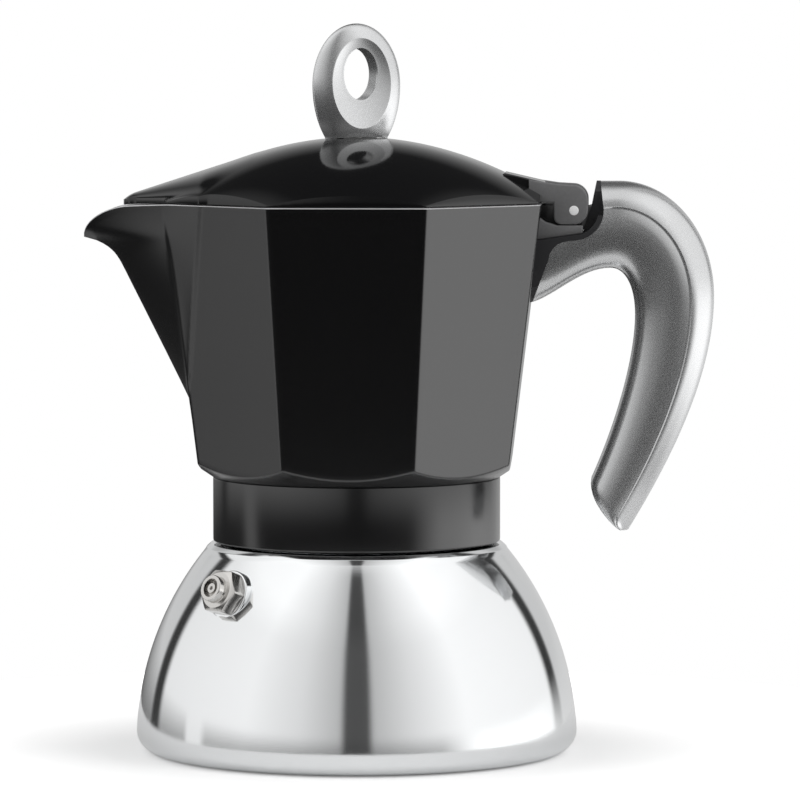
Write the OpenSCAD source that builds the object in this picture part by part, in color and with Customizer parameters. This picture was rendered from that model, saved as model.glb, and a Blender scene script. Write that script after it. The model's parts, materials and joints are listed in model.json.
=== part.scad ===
// Eight-sided stove-top moka pot on a bell-shaped steel boiler.
// Millimetres. Origin: centre of the underside. +Z up, handle at +X, spout at -X.

/* [Boiler] */
// Widest outside diameter of the boiler
boiler_d = 108; // [104:1:112]
// Radius of the bell-shaped side
bell_r = 76; // [72:1:80]
// Height of the shoulder where the bell ends
bell_h = 49.4; // [47:0.2:51]
// Wall thickness of the boiler
boiler_wall = 2; // [1.6:0.1:2.4]
// Thickness of the boiler floor
floor_t = 4; // [3:0.2:5]
// Radius of the rounded edge under the boiler
foot_r = 5; // [4:0.5:6]
// Outside diameter of the threaded neck
neck_d = 64.4; // [63.6:0.2:65]
// Wall thickness of the threaded neck
neck_wall = 2.2; // [1.8:0.1:2.6]
// Height of the neck above the shoulder
neck_h = 12.6; // [11:0.2:14]
// Height of the raised ring that carries the collar
shoulder_h = 1.5; // [1:0.1:2]

/* [Safety valve] */
// Direction of the valve, from the front towards the spout, degrees
valve_turn = 42; // [30:1:60]
// Height of the shoulder above the valve
valve_drop = 8.4; // [8.4:0.2:14]
// Upward tilt of the valve, degrees
valve_tilt = 20; // [10:1:28]
// Width across the flats of the hexagon
valve_af = 10; // [9:0.5:11]
// Outside diameter of the threaded shank
valve_shank_d = 6; // [5.6:0.1:6.4]
// Length of the hexagon
valve_hex_l = 3.3; // [2.8:0.1:4]
// Diameter of the nose in front of the hexagon
valve_nose_d = 6.4; // [6:0.1:7]
// Length of the nose
valve_nose_l = 2.2; // [1.6:0.1:2.6]
// Length of the shank inside the boiler
valve_reach = 8; // [7.4:0.2:9]
// Thickness of the nut inside the boiler
valve_nut_l = 2.4; // [2:0.1:2.6]
// Thickness of the washer under the hexagon
valve_washer_t = 0.6; // [0.4:0.1:0.8]
// Diameter of the pin that shows in the nose
valve_pin_d = 2.4; // [2:0.1:2.6]
// Travel of the pin when the valve opens
valve_travel = 1.2; // [0.8:0.1:1.4]
// Diameter of the spring's wire
spring_wire = 0.5; // [0.3:0.05:0.6]
// Turns of the spring
spring_turns = 5; // [4:1:7]

/* [Funnel] */
// Inside depth of the coffee bowl
bowl_depth = 17; // [14:0.5:20]
// Sheet thickness of the funnel
funnel_t = 0.8; // [0.6:0.1:1]
// Outside diameter of the funnel's tube
tube_d = 9; // [8:0.5:10]
// Gap between the tube's end and the boiler floor
tube_gap = 4; // [3:0.5:8]
// Height of the sieve above the floor of the bowl
sieve_stand = 2.4; // [2:0.1:3]
// Diameter of the holes in the sieves
sieve_hole_d = 1.8; // [1.4:0.1:2]
// Rings of holes in each sieve
sieve_rings = 4; // [3:1:4]

/* [Seal] */
// Inside diameter of the gasket
gasket_id = 53; // [52:0.5:54]
// Thickness of the gasket
gasket_t = 3.2; // [2.8:0.1:3.6]
// Thickness of the filter plate
plate_t = 1; // [0.8:0.1:1.2]
// Depth of the dish in the filter plate
plate_dish = 0.8; // [0.5:0.1:1]
// Reach of the filter plate over the gasket
plate_lap = 2; // [1.5:0.1:3]

/* [Collector] */
// Outside diameter of the threaded collar
collar_d = 70.2; // [69.4:0.2:71]
// Height of the rim
rim_z = 134.2; // [128:0.5:140]
// Width across corners of the octagon at the rim
octagon_top = 98.2; // [94:0.5:102]
// Width across corners of the octagon at its foot
octagon_foot = 81.8; // [80:0.5:84]
// Wall thickness of the octagon
collector_wall = 2.6; // [2:0.1:3]
// Thickness of the collector's floor
collector_floor = 3; // [2.4:0.1:3.6]
// Slope of the turned cone under the facets, degrees
foot_slope = 35; // [30:1:40]
// Reach of the spout's tip from the axis
spout_reach = 66.7; // [62:0.5:70]
// Height of the spout's tip below the rim
spout_drop = 8.4; // [7:0.2:10]
// Half width of the spout where it leaves the rim
spout_half_w = 28; // [25:0.5:30]
// Height of the keel's lower end above the octagon's foot
keel_h = 11.4; // [9:0.5:16]
// Height of the coffee column above the floor
column_h = 46; // [40:1:50]
// Diameter of the coffee column at its foot
column_d = 14; // [12:0.5:16]

/* [Lid] */
// Height of the lid's crown above the rim
crown_h = 15.8; // [14.6:0.2:17]
// Curvature of the lid: square of the radius for 1 mm of fall
dome_k = 154; // [152:1:160]
// Sheet thickness of the lid
lid_t = 1.8; // [1.4:0.1:2.2]
// Depth of the lip that centres the lid in the rim
lip_h = 1.8; // [1.2:0.1:2.4]

/* [Knob] */
// Height of the ring knob
knob_h = 27.7; // [24:0.5:30]
// Width of the ring knob
knob_w = 23; // [20:0.5:25]
// Thickness of the ring knob
knob_t = 11; // [9:0.5:12]
// Height of the window in the knob
window_h = 12.8; // [11:0.2:13.4]
// Width of the window in the knob
window_w = 11.4; // [9:0.2:12]
// Turn of the knob about its screw, degrees
knob_turn = 43; // [0:1:90]
// Diameter of the knob's screw
knob_screw_d = 4; // [3:0.5:5]

/* [Hinge] */
// Distance of the hinge pin from the axis
pin_x = 53.1; // [52.4:0.1:54]
// Height of the hinge pin above the rim
pin_dz = -1.7; // [-2:0.1:-1.2]
// Diameter of the hinge pin
pin_d = 2.4; // [2:0.1:2.6]
// Overall width of the hinge
hinge_w = 19; // [18:0.5:21]
// Thickness of each lid ear
ear_t = 3; // [2.4:0.1:3.4]
// Radius of the knuckle round the pin
knuckle_r = 3.4; // [3.2:0.1:3.5]
// Height of the ears above the pin
ear_rise = 6.1; // [5.6:0.1:6.2]
// Height of the bracket's underside below the rim
bracket_drop = 8.9; // [8.4:0.1:10]

/* [Handle] */
// Reach of the handle's back from the axis
handle_reach = 87.1; // [84:0.5:90]
// Height of the handle's lower tip
handle_tip_z = 54.6; // [52:0.5:60]
// Height of the handle's top above the rim
handle_rise = 5.2; // [4.8:0.1:6]
// Width of the handle at its top
handle_w = 21; // [19.5:0.5:23]
// Width of the handle at its tip
handle_tip_w = 14; // [12:0.5:16]
// Radius of the hollow in the silver grip round the hinge pin
shell_r = 7.2; // [7:0.1:7.6]
// Thickness of the dark liner round the hinge
liner_t = 1.3; // [1:0.1:1.5]
// Thickness of the dark seat between the grip and the pot
seat_t = 3.1; // [2.6:0.1:3.6]
// Diameter of the handle's screw
handle_screw_d = 3; // [2.5:0.5:4]

/* [Fits] */
// Clearance between round parts that slide past each other
slide_gap = 0.4; // [0.3:0.05:0.6]
// Gap between flat faces of parts that come apart
seat_gap = 0.2; // [0.1:0.05:0.3]
// Radial clearance of pins and shanks in their holes
pin_gap = 0.05; // [0.03:0.01:0.08]

/* [Hidden] */
$fn = 96;
eps = 0.01;
far = 200;
arc_steps = 14;

// Boiler
bell_z = 1.5;
bell_cx = boiler_d / 2 - bell_r;
shoulder_z = bell_h + shoulder_h;
neck_r = neck_d / 2;
neck_in_r = neck_r - neck_wall;
neck_top = shoulder_z + neck_h;
ledge_gap = 0.5;

// Stack inside the collar
flange_z = neck_top + seat_gap;
bowl_r = neck_in_r - slide_gap;
bowl_floor_z = flange_z - bowl_depth;
gasket_z = flange_z + funnel_t + seat_gap;
plate_z = gasket_z + gasket_t + seat_gap;
ceiling_z = plate_z + plate_t + seat_gap;
plate_r = gasket_id / 2 + plate_lap;
collar_in_r = neck_r + slide_gap;
gasket_r = collar_in_r - slide_gap;
tube_r = tube_d / 2;
tube_end_z = floor_t + tube_gap;

// Collector
collar_r = collar_d / 2;
spigot_r = (collar_r + collar_in_r) / 2;
collar_z = shoulder_z + ledge_gap;
chamber_z = ceiling_z + collector_floor;
foot_z = chamber_z - 1.1;
flat_k = cos(22.5);
foot_af = octagon_foot * flat_k;
top_af = octagon_top * flat_k;
cone_z = foot_z - (octagon_foot / 2 - collar_r) * tan(foot_slope);
tip_z = rim_z - spout_drop;
keel_z = foot_z + keel_h;
column_top_z = chamber_z + column_h;
column_plug_r = column_d / 2 - 1.2;

// Lid
crown_z = rim_z + crown_h;
lid_gap = 0.2;
lid_z = rim_z + lid_gap;
pad_r = 7.5;
pad_z = crown_z - 0.6;
washer_t = 0.5;
knob_z = pad_z + washer_t;

// Hinge
pin_z = rim_z + pin_dz;
pin_r = pin_d / 2;
knuckle_w = hinge_w - 2 * ear_t - 2 * slide_gap;
bracket_z = rim_z - bracket_drop;
bracket_x = pin_x + 2.2;
bracket_slope = 0.15;

// Handle
handle_top_z = rim_z + handle_rise;

function lerp(a, b, t) = a + (b - a) * t;
function arc(cx, cy, r, a0, a1, n) = [for (i = [0:n])
    let (a = lerp(a0, a1, i / n))
    [cx + r * cos(a), cy + r * sin(a)]];
function bezier(p, t) = let (u = 1 - t)
    u * u * u * p[0] + 3 * t * u * u * p[1] + 3 * t * t * u * p[2] + t * t * t * p[3];
function half_af(z) = lerp(foot_af, top_af, (z - foot_z) / (rim_z - foot_z)) / 2;

// Side view drawn in x and z, carried across the middle plane
module across(w) {
    translate([0, w / 2, 0])
        rotate([90, 0, 0])
            linear_extrude(w)
                children();
}

// Closed skin through equal rings of points
module skin(rings) {
    count = len(rings);
    n = len(rings[0]);
    points = [for (ring = rings) each ring];
    sides = [for (i = [0:count - 2], j = [0:n - 1], half = [0, 1])
        let (a = i * n + j, b = i * n + (j + 1) % n)
        half == 0 ? [a, b, b + n] : [a, b + n, a + n]];
    start_cap = [[for (j = [n - 1:-1:0]) j]];
    end_cap = [[for (j = [0:n - 1]) (count - 1) * n + j]];
    polyhedron(points, concat(sides, start_cap, end_cap), convexity = 6);
}

// Straight-sided tapered octagon with flats facing X and Y
module octagon(af0, z0, af1, z1) {
    intersection_for (a = [0, 45, 90, 135])
        rotate([90, 0, a])
            linear_extrude(far, center = true)
                polygon([[-af0 / 2, z0], [af0 / 2, z0], [af1 / 2, z1], [-af1 / 2, z1]]);
}

// ---- Boiler ----

bell_top = asin((bell_h - bell_z) / bell_r);
bell_in_r = bell_r - boiler_wall;
bell_in_top = asin((bell_h - boiler_wall / 2 - bell_z) / bell_in_r);
bell_in_low = asin((floor_t + 3 - bell_z) / bell_in_r);
foot_cx = bell_cx + sqrt(pow(bell_r - foot_r, 2) - pow(foot_r - bell_z, 2));
foot_turn = asin((foot_r - bell_z) / (bell_r - foot_r));

module boiler_solid() {
    groove_r = foot_cx - 6;
    groove_w = 1.2;
    groove_h = 0.4;
    rotate_extrude()
        polygon(concat(
            [[0, 0], [groove_r, 0], [groove_r, groove_h], [groove_r + groove_w, groove_h],
                [groove_r + groove_w, 0]],
            arc(foot_cx, foot_r, foot_r, -90, foot_turn, 6),
            [for (i = [1:arc_steps]) let (a = lerp(foot_turn, bell_top, i / arc_steps))
                [bell_cx + bell_r * cos(a), bell_z + bell_r * sin(a)]],
            [[collar_r + 1.6, bell_h + 0.6], [collar_r + 0.6, shoulder_z], [neck_r, shoulder_z]],
            [[neck_r, neck_top - 0.6], [neck_r - 0.6, neck_top], [0, neck_top]]));
}

module boiler_room() {
    rotate_extrude()
        polygon(concat(
            [[0, floor_t], [bell_cx + bell_in_r - 3.4, floor_t]],
            [for (i = [0:arc_steps]) let (a = lerp(bell_in_low, bell_in_top, i / arc_steps))
                [bell_cx + bell_in_r * cos(a), bell_z + bell_in_r * sin(a)]],
            [[neck_in_r, shoulder_z - boiler_wall + 0.6], [neck_in_r, neck_top + 1], [0, neck_top + 1]]));
}

module boiler() {
    color("silver")
        difference() {
            union() {
                difference() {
                    boiler_solid();
                    boiler_room();
                }
                at_valve()
                    rod(-valve_seat_in, valve_seat_out, valve_boss_r);
            }
            at_valve() {
                rod(-valve_seat_in - 1, valve_seat_out + 1, valve_shank_d / 2 + pin_gap);
                rod(valve_seat_out, valve_nose_x, valve_boss_r);
                rod(valve_back_x, -valve_seat_in, valve_boss_r);
            }
        }
}

// ---- Safety valve, drawn along local +X, which points out of the boiler ----

valve_z = bell_h - valve_drop;
valve_wall_r = bell_cx + sqrt(bell_r * bell_r - pow(valve_z - bell_z, 2));
valve_seat_out = 0.9;
valve_seat_in = 3.1;
valve_boss_r = valve_af / 2 + 1.3;
valve_hex_x = valve_seat_out + valve_washer_t;
valve_nose_x = valve_hex_x + valve_hex_l;
valve_back_x = -valve_reach;
valve_bore_r = valve_shank_d / 2 - 0.8;
valve_throat_x = valve_back_x + 2;
valve_disc_l = 1.2;
valve_clip_l = 0.8;
valve_clip_x = valve_nose_x - 0.6;

module at_valve() {
    translate([0, 0, valve_z])
        rotate([0, 0, -90 - valve_turn])
            translate([valve_wall_r, 0, 0])
                rotate([0, -valve_tilt, 0])
                    children();
}

// Round bar along local X
module rod(x0, x1, r) {
    translate([x0, 0, 0])
        rotate([0, 90, 0])
            cylinder(h = x1 - x0, r = r);
}

// Hexagonal bar along local X
module hex_rod(x0, x1, af) {
    translate([x0, 0, 0])
        rotate([0, 90, 0])
            cylinder(h = x1 - x0, r = af / 2 / cos(30), $fn = 6);
}

module valve_washer() {
    color("dimgray")
        at_valve()
            difference() {
                rod(valve_seat_out, valve_hex_x, valve_af / 2 + 0.8);
                rod(valve_seat_out - 1, valve_hex_x + 1, valve_shank_d / 2 + pin_gap);
            }
}

module valve_body() {
    corner_r = valve_af / 2 / cos(30);
    chamfer = 1.4;
    color("gainsboro")
        at_valve()
            difference() {
                union() {
                    intersection() {
                        hex_rod(valve_hex_x, valve_nose_x, valve_af);
                        translate([valve_hex_x, 0, 0])
                            rotate([0, 90, 0])
                                rotate_extrude()
                                    polygon([[0, 0], [corner_r + eps, 0],
                                        [corner_r + eps, valve_hex_l - chamfer / 2],
                                        [corner_r - chamfer, valve_hex_l], [0, valve_hex_l]]);
                    }
                    rod(valve_nose_x, valve_nose_x + valve_nose_l, valve_nose_d / 2);
                    rod(valve_back_x, valve_hex_x, valve_shank_d / 2);
                }
                rod(valve_throat_x, valve_nose_x + valve_nose_l + 1, valve_bore_r);
                rod(valve_back_x - 1, valve_throat_x + 1, valve_pin_d / 2 + 0.2);
            }
}

module valve_nut() {
    color("goldenrod")
        at_valve()
            difference() {
                hex_rod(-valve_seat_in - valve_nut_l, -valve_seat_in, valve_af - 1);
                rod(-valve_seat_in - valve_nut_l - 1, 0, valve_shank_d / 2 + pin_gap);
            }
}

module valve_stem() {
    disc_x = valve_throat_x + seat_gap / 2;
    end_x = valve_nose_x + valve_nose_l;
    color("gray")
        at_valve()
            difference() {
                union() {
                    rod(disc_x, disc_x + valve_disc_l, valve_bore_r - 0.1);
                    rod(disc_x + valve_disc_l - seat_gap / 2, end_x - 0.4, valve_pin_d / 2);
                }
                rod(end_x - 1, end_x, valve_pin_d / 5);
            }
}

// Compression spring round the stem
module valve_spring() {
    x0 = valve_throat_x + valve_disc_l + valve_travel + 0.6;
    x1 = valve_clip_x - seat_gap;
    mean_r = (valve_pin_d / 2 + valve_bore_r) / 2 + 0.02;
    wire_r = min(spring_wire, valve_bore_r - valve_pin_d / 2 - 0.16) / 2;
    steps = 14 * spring_turns;
    rings = [for (i = [0:steps])
        let (a = 360 * spring_turns * i / steps, x = lerp(x0 + wire_r, x1 - wire_r, i / steps))
        [for (j = [0:5]) let (b = 60 * j, r = mean_r + wire_r * cos(b))
            [x + wire_r * sin(b), r * cos(a), r * sin(a)]]];
    color("silver")
        at_valve()
            skin(rings);
}

module valve_clip() {
    color("silver")
        at_valve()
            difference() {
                rod(valve_clip_x, valve_clip_x + valve_clip_l, valve_bore_r);
                rod(valve_clip_x - 1, valve_clip_x + valve_clip_l + 1, valve_pin_d / 2 + pin_gap);
            }
}

// ---- Funnel ----

module funnel_bowl() {
    top_z = flange_z + funnel_t;
    flange_r = neck_r - 0.4;
    hole_r = tube_r - 0.8 + pin_gap;
    color("lightgray")
        rotate_extrude()
            polygon([
                [hole_r, bowl_floor_z], [bowl_r - 1.5, bowl_floor_z], [bowl_r, bowl_floor_z + 1.5],
                [bowl_r, flange_z], [flange_r, flange_z], [flange_r, top_z], [bowl_r - funnel_t, top_z],
                [bowl_r - funnel_t, bowl_floor_z + 1.8], [bowl_r - 1.8, bowl_floor_z + funnel_t],
                [hole_r, bowl_floor_z + funnel_t]]);
}

module funnel_tube() {
    flare = 1.6;
    color("lightgray")
        rotate_extrude()
            polygon([
                [tube_r - funnel_t, tube_end_z + flare], [tube_r - funnel_t + flare, tube_end_z],
                [tube_r + flare, tube_end_z], [tube_r, tube_end_z + flare], [tube_r, bowl_floor_z - 1],
                [tube_r + 1.6, bowl_floor_z - 1], [tube_r + 1.6, bowl_floor_z], [tube_r - 0.8, bowl_floor_z],
                [tube_r - 0.8, bowl_floor_z + funnel_t], [tube_r - 1.6, bowl_floor_z + funnel_t],
                [tube_r - 1.6, bowl_floor_z - 1.4], [tube_r - funnel_t, bowl_floor_z - 3]]);
}

// Holes in rings round the centre
module sieve_holes(z0, z1, pitch, rings) {
    for (k = [1:rings], i = [0:6 * k - 1])
        rotate([0, 0, 360 * i / (6 * k)])
            translate([k * pitch, 0, z0])
                cylinder(h = z1 - z0, d = sieve_hole_d, $fn = 16);
}

module funnel_sieve() {
    sieve_r = bowl_r - funnel_t - 1.6;
    z0 = bowl_floor_z + funnel_t;
    disc_z = z0 + sieve_stand;
    color("lightgray")
        difference() {
            rotate_extrude()
                polygon([[0, disc_z], [sieve_r - funnel_t, disc_z], [sieve_r - funnel_t, z0],
                    [sieve_r, z0], [sieve_r, disc_z + funnel_t], [0, disc_z + funnel_t]]);
            sieve_holes(disc_z - 1, disc_z + funnel_t + 1, (sieve_r - 3) / (sieve_rings + 0.4), sieve_rings);
        }
}

// ---- Seal ----

module filter_plate() {
    step_r = plate_r - plate_lap;
    low_z = plate_z - plate_dish;
    color("lightgray")
        difference() {
            rotate_extrude()
                polygon([[0, low_z], [step_r - 1.4 - plate_dish, low_z], [step_r - 1.4, plate_z],
                    [plate_r, plate_z], [plate_r, plate_z + plate_t], [step_r - 1.8, plate_z + plate_t],
                    [step_r - 1.8 - plate_dish, low_z + plate_t], [0, low_z + plate_t]]);
            sieve_holes(low_z - 1, plate_z + plate_t + 1, (step_r - 4) / (sieve_rings + 0.3), sieve_rings);
        }
}

module gasket_ring() {
    edge = 0.5;
    hole_r = gasket_id / 2;
    top_z = gasket_z + gasket_t;
    color("whitesmoke")
        rotate_extrude()
            polygon([[hole_r, gasket_z + edge], [hole_r + edge, gasket_z], [gasket_r - edge, gasket_z],
                [gasket_r, gasket_z + edge], [gasket_r, top_z - edge], [gasket_r - edge, top_z],
                [hole_r + edge, top_z], [hole_r, top_z - edge]]);
}

// ---- Collector ----

// Outer face of the octagon, as an x that depends on y and z
function facet_x(y, z) = let (a = half_af(z)) abs(y) < a * tan(22.5) ? a : sqrt(2) * a - abs(y);
// Reach of the keel: straight up to the throat, then a flare to the tip
keel_flare = 5.9;
keel_lean = (spout_reach - keel_flare - half_af(keel_z)) / (tip_z - 0.6 - keel_z);
flare_h = 9.4;
function keel_x(z) = let (t = min(1, max(0, (z - tip_z + 0.6 + flare_h) / flare_h)))
    half_af(keel_z) + keel_lean * (min(z, tip_z) - keel_z) + keel_flare * pow(t, 5);
function spout_y(z) = lerp(0.53 * spout_half_w, spout_half_w, (z - keel_z) / (rim_z - keel_z));

// Horizontal section of the spout; inset draws the channel inside it
function spout_ring(z, inset) =
    let (y = spout_y(z) - 1.15 * inset, x0 = facet_x(y, z) - 0.4 - inset, x1 = keel_x(z) - 1.35 * inset,
        nose = [x1, 3.4 - 0.6 * inset], n = 9,
        side = [for (i = [0:n]) let (t = i / n, u = 1 - t)
            [u * u * x0 + 2 * t * u * nose[0] + t * t * x1, u * u * y + 2 * t * u * nose[1]]])
    concat([[-20, -y, z]], [for (p = side) [-p[0], -p[1], z]],
        [for (i = [n - 1:-1:0]) [-side[i][0], side[i][1], z]], [[-20, y, z]]);

module spout_body(inset, top) {
    z0 = keel_z + 5 * inset;
    throat = tip_z - 0.6 - flare_h;
    levels = concat([for (i = [0:3]) lerp(z0, throat, i / 4)],
        [for (i = [0:7]) lerp(throat, tip_z - 0.6, i / 7)], [top]);
    skin([for (z = levels) spout_ring(z, inset)]);
}

// Side view of everything above the rim and the curved lip, cut away
lip_l = 12.3;
module lip_cut() {
    across(far)
        polygon(concat([[-far, rim_z + far / 4], [-far, tip_z]],
            [for (i = [0:8]) let (a = 90 * i / 8)
                [lip_l - spout_reach - lip_l * cos(a), tip_z + spout_drop * sin(a)]],
            [[far, rim_z], [far, rim_z + far / 4]]));
}

module octagon_shell() {
    cone_w = octagon_top / 2;
    top = foot_z + (rim_z - foot_z) * 1.1;
    intersection() {
        octagon(2 * half_af(cone_z - 4), cone_z - 4, 2 * half_af(top), top);
        rotate_extrude()
            polygon([[0, cone_z], [collar_r, cone_z], [collar_r + cone_w, cone_z + cone_w * tan(foot_slope)],
                [collar_r + cone_w, top + 1], [0, top + 1]]);
    }
}

module chamber() {
    inset = 2 * collector_wall;
    top = rim_z + 6;
    low = chamber_z;
    bottom_r = half_af(low) - collector_wall - 2.4;
    intersection() {
        octagon(2 * half_af(low) - inset, low, 2 * half_af(top) - inset, top);
        rotate_extrude()
            polygon([[0, low], [bottom_r, low], [bottom_r + 3, low + 2], [far / 2, low + far / 3],
                [far / 2, top + 1], [0, top + 1]]);
    }
}

function bracket_low(x) = bracket_z + bracket_slope * (x - half_af(bracket_z));

// Bracket on the facet behind: a yoke under the ears and the middle knuckle of the hinge
module bracket() {
    inside_x = half_af(bracket_z) - 1.2;
    block_x = half_af(rim_z) - 1.6;
    yoke_z = pin_z - knuckle_r - seat_gap;
    root_z = yoke_z + 1.9;
    difference() {
        union() {
            across(hinge_w)
                polygon([[inside_x, bracket_low(inside_x)], [bracket_x, bracket_low(bracket_x)],
                    [bracket_x, yoke_z], [pin_x - 4, yoke_z], [pin_x - 6.8, yoke_z + 0.8],
                    [half_af(root_z) - 0.2, root_z], [inside_x, root_z]]);
            across(knuckle_w)
                union() {
                    translate([pin_x, pin_z])
                        circle(r = knuckle_r);
                    polygon([[block_x, yoke_z - 1], [pin_x, yoke_z - 1], [pin_x, pin_z],
                        [pin_x - knuckle_r, rim_z - seat_gap], [block_x, rim_z - seat_gap]]);
                }
        }
        translate([pin_x, far / 2, pin_z])
            rotate([90, 0, 0])
                cylinder(h = far, r = pin_r + pin_gap / 2);
    }
}

handle_lug_z = rim_z - 16.2;
handle_lug_h = 5.4;
handle_lug_w = 9;
handle_screw_x = half_af(handle_lug_z) + 5.6;
handle_lug_x = handle_screw_x + 4;
handle_head_z = handle_lug_z - 1.2;
handle_head_t = 2;
handle_bore = 12;

module handle_lug() {
    inside_x = half_af(handle_lug_z) - 1;
    difference() {
        translate([inside_x, -handle_lug_w / 2, handle_lug_z])
            cube([handle_lug_x - inside_x, handle_lug_w, handle_lug_h]);
        translate([handle_screw_x, 0, handle_lug_z - 1])
            cylinder(h = handle_lug_h - 1, d = handle_screw_d + 2 * pin_gap);
    }
}

// Threaded ring under the octagon, with a spigot that seats in it
module collar() {
    edge = 0.8;
    color([0.14, 0.14, 0.15])
        rotate_extrude()
            polygon([[collar_in_r, collar_z + edge], [collar_in_r + edge, collar_z],
                [collar_r - edge / 2, collar_z], [collar_r, collar_z + edge / 2], [collar_r, cone_z],
                [spigot_r, cone_z], [spigot_r, ceiling_z], [collar_in_r, ceiling_z]]);
}

module collector() {
    color([0.12, 0.12, 0.13])
        difference() {
            union() {
                difference() {
                    union() {
                        octagon_shell();
                        spout_body(0, rim_z + 3);
                    }
                    lip_cut();
                }
                bracket();
                handle_lug();
            }
            chamber();
            spout_body(collector_wall * 0.8, rim_z + 4);
            translate([0, 0, cone_z - 1])
                cylinder(h = ceiling_z - cone_z + 1, r = spigot_r + pin_gap);
            cylinder(h = far, r = column_plug_r + pin_gap);
        }
}

module coffee_column() {
    foot_r = column_d / 2;
    top_r = foot_r * 0.72;
    wall = 1.2;
    bore_r = column_plug_r - wall;
    cap_h = 2.4;
    window_w = 4.4;
    window_h = 6;
    color("silver")
        difference() {
            rotate_extrude()
                polygon([[0, ceiling_z], [column_plug_r, ceiling_z], [column_plug_r, chamber_z],
                    [foot_r + 1.4, chamber_z], [foot_r + 1.4, chamber_z + 0.8], [foot_r, chamber_z + 2],
                    [top_r, column_top_z - cap_h], [top_r * 0.8, column_top_z - 0.6],
                    [top_r * 0.4, column_top_z], [0, column_top_z]]);
            rotate_extrude()
                polygon([[0, ceiling_z - 1], [bore_r, ceiling_z - 1], [bore_r, chamber_z + 2],
                    [top_r - wall, column_top_z - cap_h - 0.6], [0, column_top_z - 1.6]]);
            translate([-window_w / 2, -far / 2, column_top_z - cap_h - window_h - 1])
                cube([window_w, far, window_h]);
        }
}

// ---- Lid ----

function dome_z(r, drop) = crown_z - drop - r * r / dome_k;

// Solid under the curved top, down to the height z0
module dome(drop, z0) {
    reach = sqrt(dome_k * (crown_z - drop - z0));
    rotate_extrude()
        polygon(concat([[0, z0]], [for (i = [16:-1:0]) let (r = reach * i / 16) [r, dome_z(r, drop)]]));
}

beak_end = spout_reach - 12.7;
beak_h = 2.3;
beak_touch = beak_end - sqrt(beak_end * beak_end - dome_k * (crown_h - beak_h));
beak_lean = 2 * beak_touch / dome_k;
beak_start = beak_touch - 2;
beak_side = 1.6;
beak_round = 2.9;
// Half width, ridge height and foot height of the beak at a distance from the axis
function beak_w(x) = let (root = facet_x(spout_half_w, rim_z))
    x < root ? spout_half_w + (root - x) * 0.35 : lerp(spout_half_w, 5.4, (x - root) / (beak_end - root));
function beak_ridge(x) = let (past = max(0, x - beak_touch)) dome_z(x - past, 0) - past * beak_lean;

// Upright arch across the spout
function beak_ring(x, inset, foot) =
    let (w = beak_w(x) - inset, top = beak_ridge(x) - inset, n = 14,
        edge = lid_z + beak_side * lerp(1, 0.5, (x - beak_start) / (beak_end - beak_start)) - inset)
    concat([[-x, w, foot]],
        [for (i = [0:n]) let (a = 180 * i / n)
            [-x, w * cos(a), edge + (top - edge) * pow(abs(sin(a)), 1.25)]],
        [[-x, -w, foot]]);

module beak(inset) {
    x1 = beak_end - inset;
    foot = lid_z - (inset > 0 ? lid_t + 1 : 0);
    nose = beak_ring(x1, inset, foot);
    skin(concat([for (i = [0:8]) beak_ring(lerp(beak_start, x1, i / 8), inset, foot)],
        [for (k = [0.75, 0.4]) [for (p = nose)
            [p[0] - beak_round * (1 - k), p[1] * lerp(0.4, 1, k), lerp(foot, p[2], k)]]]));
}

// Side view of an ear, from the lid's edge to the pin
module ear_profile() {
    heel = 1.8;
    heel_x = -knuckle_r - 1.5;
    corner = 3.7;
    back = half_af(rim_z) - lid_gap - pin_x;
    foot = lid_z - pin_z;
    translate([pin_x, pin_z])
        polygon(concat([[back, foot], [heel_x, foot]],
            arc(heel_x + heel, heel - knuckle_r, heel, 180, 270, 4),
            arc(0, 0, knuckle_r, -90, 0, 6),
            arc(knuckle_r - corner, ear_rise - corner, corner, 0, 90, 6),
            [[back + 4, ear_rise + 0.2], [back, ear_rise + 0.8]]));
}

// Two ears on a tail that grows out of the dome
module lid_ears() {
    tail_w = hinge_w - 1.6;
    start_x = half_af(rim_z) - 9;
    edge_x = half_af(rim_z) - lid_gap;
    end_x = edge_x + 1;
    for (side = [-1, 1])
        translate([0, side * (hinge_w - ear_t) / 2, 0])
            across(ear_t)
                ear_profile();
    across(tail_w)
        polygon([[start_x - 2, dome_z(start_x, 0) - 0.6], [start_x - 2, lid_z + 2], [edge_x - 2, lid_z],
            [end_x, lid_z], [end_x, pin_z + ear_rise + 0.6], [edge_x, pin_z + ear_rise + 0.8],
            [start_x, dome_z(start_x, 0) + 0.05]]);
}

module lid() {
    af = 2 * half_af(rim_z) - 0.4;
    in_af = af - 2 * lid_t;
    lip_af = 2 * half_af(rim_z) - 2 * collector_wall - 1.2;
    color([0.05, 0.05, 0.055])
        difference() {
            union() {
                intersection() {
                    dome(0, lid_z);
                    octagon(af, lid_z - 1, af, crown_z + 1);
                }
                beak(0);
                lid_ears();
                intersection() {
                    octagon(lip_af, lid_z - lip_h, lip_af, lid_z + 2);
                    translate([-27, -far / 2, 0])
                        cube([far, far, far]);
                }
            }
            intersection() {
                dome(lid_t, lid_z - lip_h - 1);
                octagon(lip_af - 2 * lid_t, lid_z - lip_h - 1, lip_af - 2 * lid_t, crown_z + 1);
            }
            beak(lid_t);
            translate([0, 0, pad_z])
                cylinder(h = 5, r = pad_r);
            translate([0, 0, pad_z - 10])
                cylinder(h = 20, d = knob_screw_d + 2 * pin_gap);
            translate([pin_x, far / 2, pin_z])
                rotate([90, 0, 0])
                    cylinder(h = far, r = pin_r + pin_gap);
        }
}

// ---- Knob ----

knob_mid = 0.51;
knob_neck = 0.72;
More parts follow.
